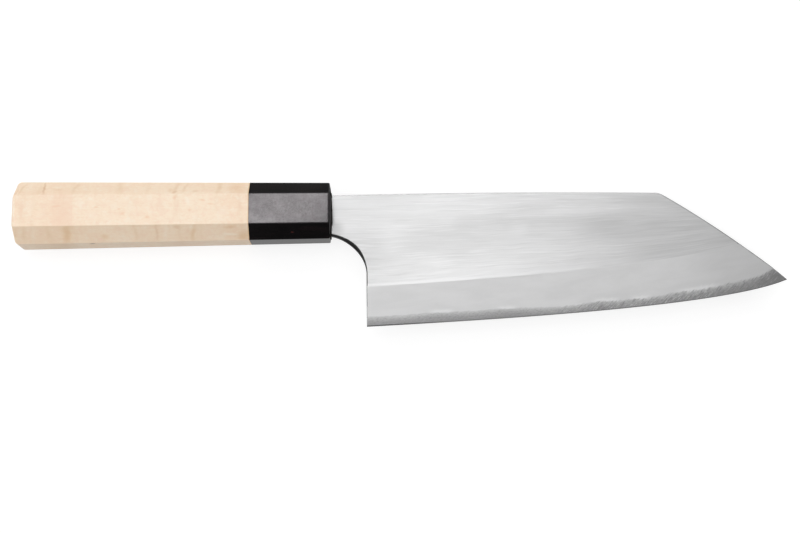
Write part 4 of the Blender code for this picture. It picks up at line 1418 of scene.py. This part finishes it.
studio = {
    "world": 0.09,
    "floorRadius": 3.0,
    "floorColour": rgb(246, 246, 246),
    "floorGlow": 0.80,          # what the camera sees of the floor before the light on it
    "floorShadow": 0.28,        # how much of the light and shadow on it the camera sees
    "floorInGloss": (0.58, 0.18),   # what gloss shows of it, near the knife and far off
    "glossFade": (0.05, 0.13),
    "softboxes": {              # place, size, radiance
        "key": ((-0.114, 0.2475, 0.95), (0.145, 0.066), 8.7),
        "left": ((-0.60, 0.10, 1.25), (1.76, 1.70), 0.49),
        "blade": ((0.18, 0.20, 1.10), (0.24, 0.42), 0.64),
        "bladeWide": ((0.20, 0.18, 1.11), (0.40, 0.50), 0.34),
        "right": ((0.50, -0.18, 1.25), (0.44, 0.36), 0.10),
        "sky": ((0.0, 0.10, 1.60), (4.0, 3.0), 0.34),
        "back": ((0.0, 1.25, 1.05), (1.8, 0.8), 2.35),
        "front": ((0.0, -1.15, 1.05), (1.8, 0.8), 1.05),
        "end": ((-1.30, 0.0, 1.05), (0.8, 1.6), 1.5),
    },
}
view = {"lens": 62.95, "tilt": 11.4, "roll": 0.59, "distance": 0.564,
        "aimPastMouth": 0.02748, "aimBelowAxis": 0.02245}


def addSoftbox(name, place, size, radiance):
    light = bpy.data.lights.new(name, "AREA")
    light.shape = "RECTANGLE"
    light.size, light.size_y = size
    light.energy = radiance * math.pi * size[0] * size[1]
    lamp = addObject(name, light)
    lamp.location = place
    lamp.rotation_euler = (-Vector(place)).to_track_quat("-Z", "Y").to_euler()


def makeFloor():
    bm = bmesh.new()
    bmesh.ops.create_circle(bm, cap_ends=True, segments=96, radius=studio["floorRadius"])
    floor = addObject("paleFloor", toMesh(bm, "paleFloor"))
    floor.location.z = cadBounds[0][2] - 0.0002
    finish, tree, shader = newFinish("palePaper", 0.8)
    shader.inputs["Base Color"].default_value = studio["floorColour"]
    rays = addNode(tree, "ShaderNodeLightPath").outputs
    seen = calc(tree, "MAXIMUM", rays["Is Camera Ray"], rays["Is Transmission Ray"])
    either = calc(tree, "MAXIMUM", seen, rays["Is Glossy Ray"])
    place = addNode(tree, "ShaderNodeTexCoord").outputs["Object"]
    away = calc(tree, "ABSOLUTE", splitPoint(tree, place)["Y"])
    inGloss = fade(tree, away, *studio["glossFade"], *studio["floorInGloss"])
    glow = calc(tree, "MAXIMUM", product(tree, seen, studio["floorGlow"]), inGloss)
    white = addNode(tree, "ShaderNodeEmission", {"Color": (1.0, 1.0, 1.0, 1.0), "Strength": glow})
    dim = addNode(tree, "ShaderNodeBsdfDiffuse", {"Color": product(tree, seen, studio["floorShadow"])})
    both = addNode(tree, "ShaderNodeAddShader", {0: white.outputs[0], 1: dim.outputs[0]})
    mixed = addNode(tree, "ShaderNodeMixShader", {0: either, 1: shader.outputs[0], 2: both.outputs[0]})
    tree.links.new(mixed.outputs[0], tree.nodes["Material Output"].inputs["Surface"])
    floor.data.materials.append(finish)


def makeWorld():
    world = bpy.data.worlds.new("softRoom")
    world.use_nodes = True
    tree = world.node_tree
    background = tree.nodes["Background"]
    background.inputs["Color"].default_value = (1.0, 1.0, 1.0, 1.0)
    seen = addNode(tree, "ShaderNodeLightPath").outputs["Is Camera Ray"]
    glow = calc(tree, "MAXIMUM", seen, studio["world"])     # white behind the floor's rim
    tree.links.new(glow, background.inputs["Strength"])
    bpy.context.scene.world = world


def makeCamera():
    camera = bpy.data.cameras.new("photoCamera")
    camera.sensor_width = 36.0
    camera.lens = view["lens"]
    camera.clip_start = 0.01
    holder = addObject("photoCamera", camera)
    aim = axisStart + Vector((mouthX + view["aimPastMouth"], -view["aimBelowAxis"], 0.0))
    tilt, roll = math.radians(view["tilt"]), math.radians(view["roll"])
    right = Vector((1.0, 0.0, 0.0))
    up = Vector((0.0, math.cos(tilt), math.sin(tilt)))
    back = Vector((0.0, -math.sin(tilt), math.cos(tilt)))
    turnedRight = right * math.cos(roll) - up * math.sin(roll)
    turnedUp = right * math.sin(roll) + up * math.cos(roll)
    holder.matrix_world = Matrix((turnedRight, turnedUp, back)).transposed().to_4x4()
    holder.location = aim + back * view["distance"]
    bpy.context.scene.camera = holder


makeWorld()
makeFloor()
for box, (place, size, radiance) in studio["softboxes"].items():
    addSoftbox(box + "Softbox", place, size, radiance)
makeCamera()
bpy.context.scene.view_settings.view_transform = "Standard"
print("studio set")
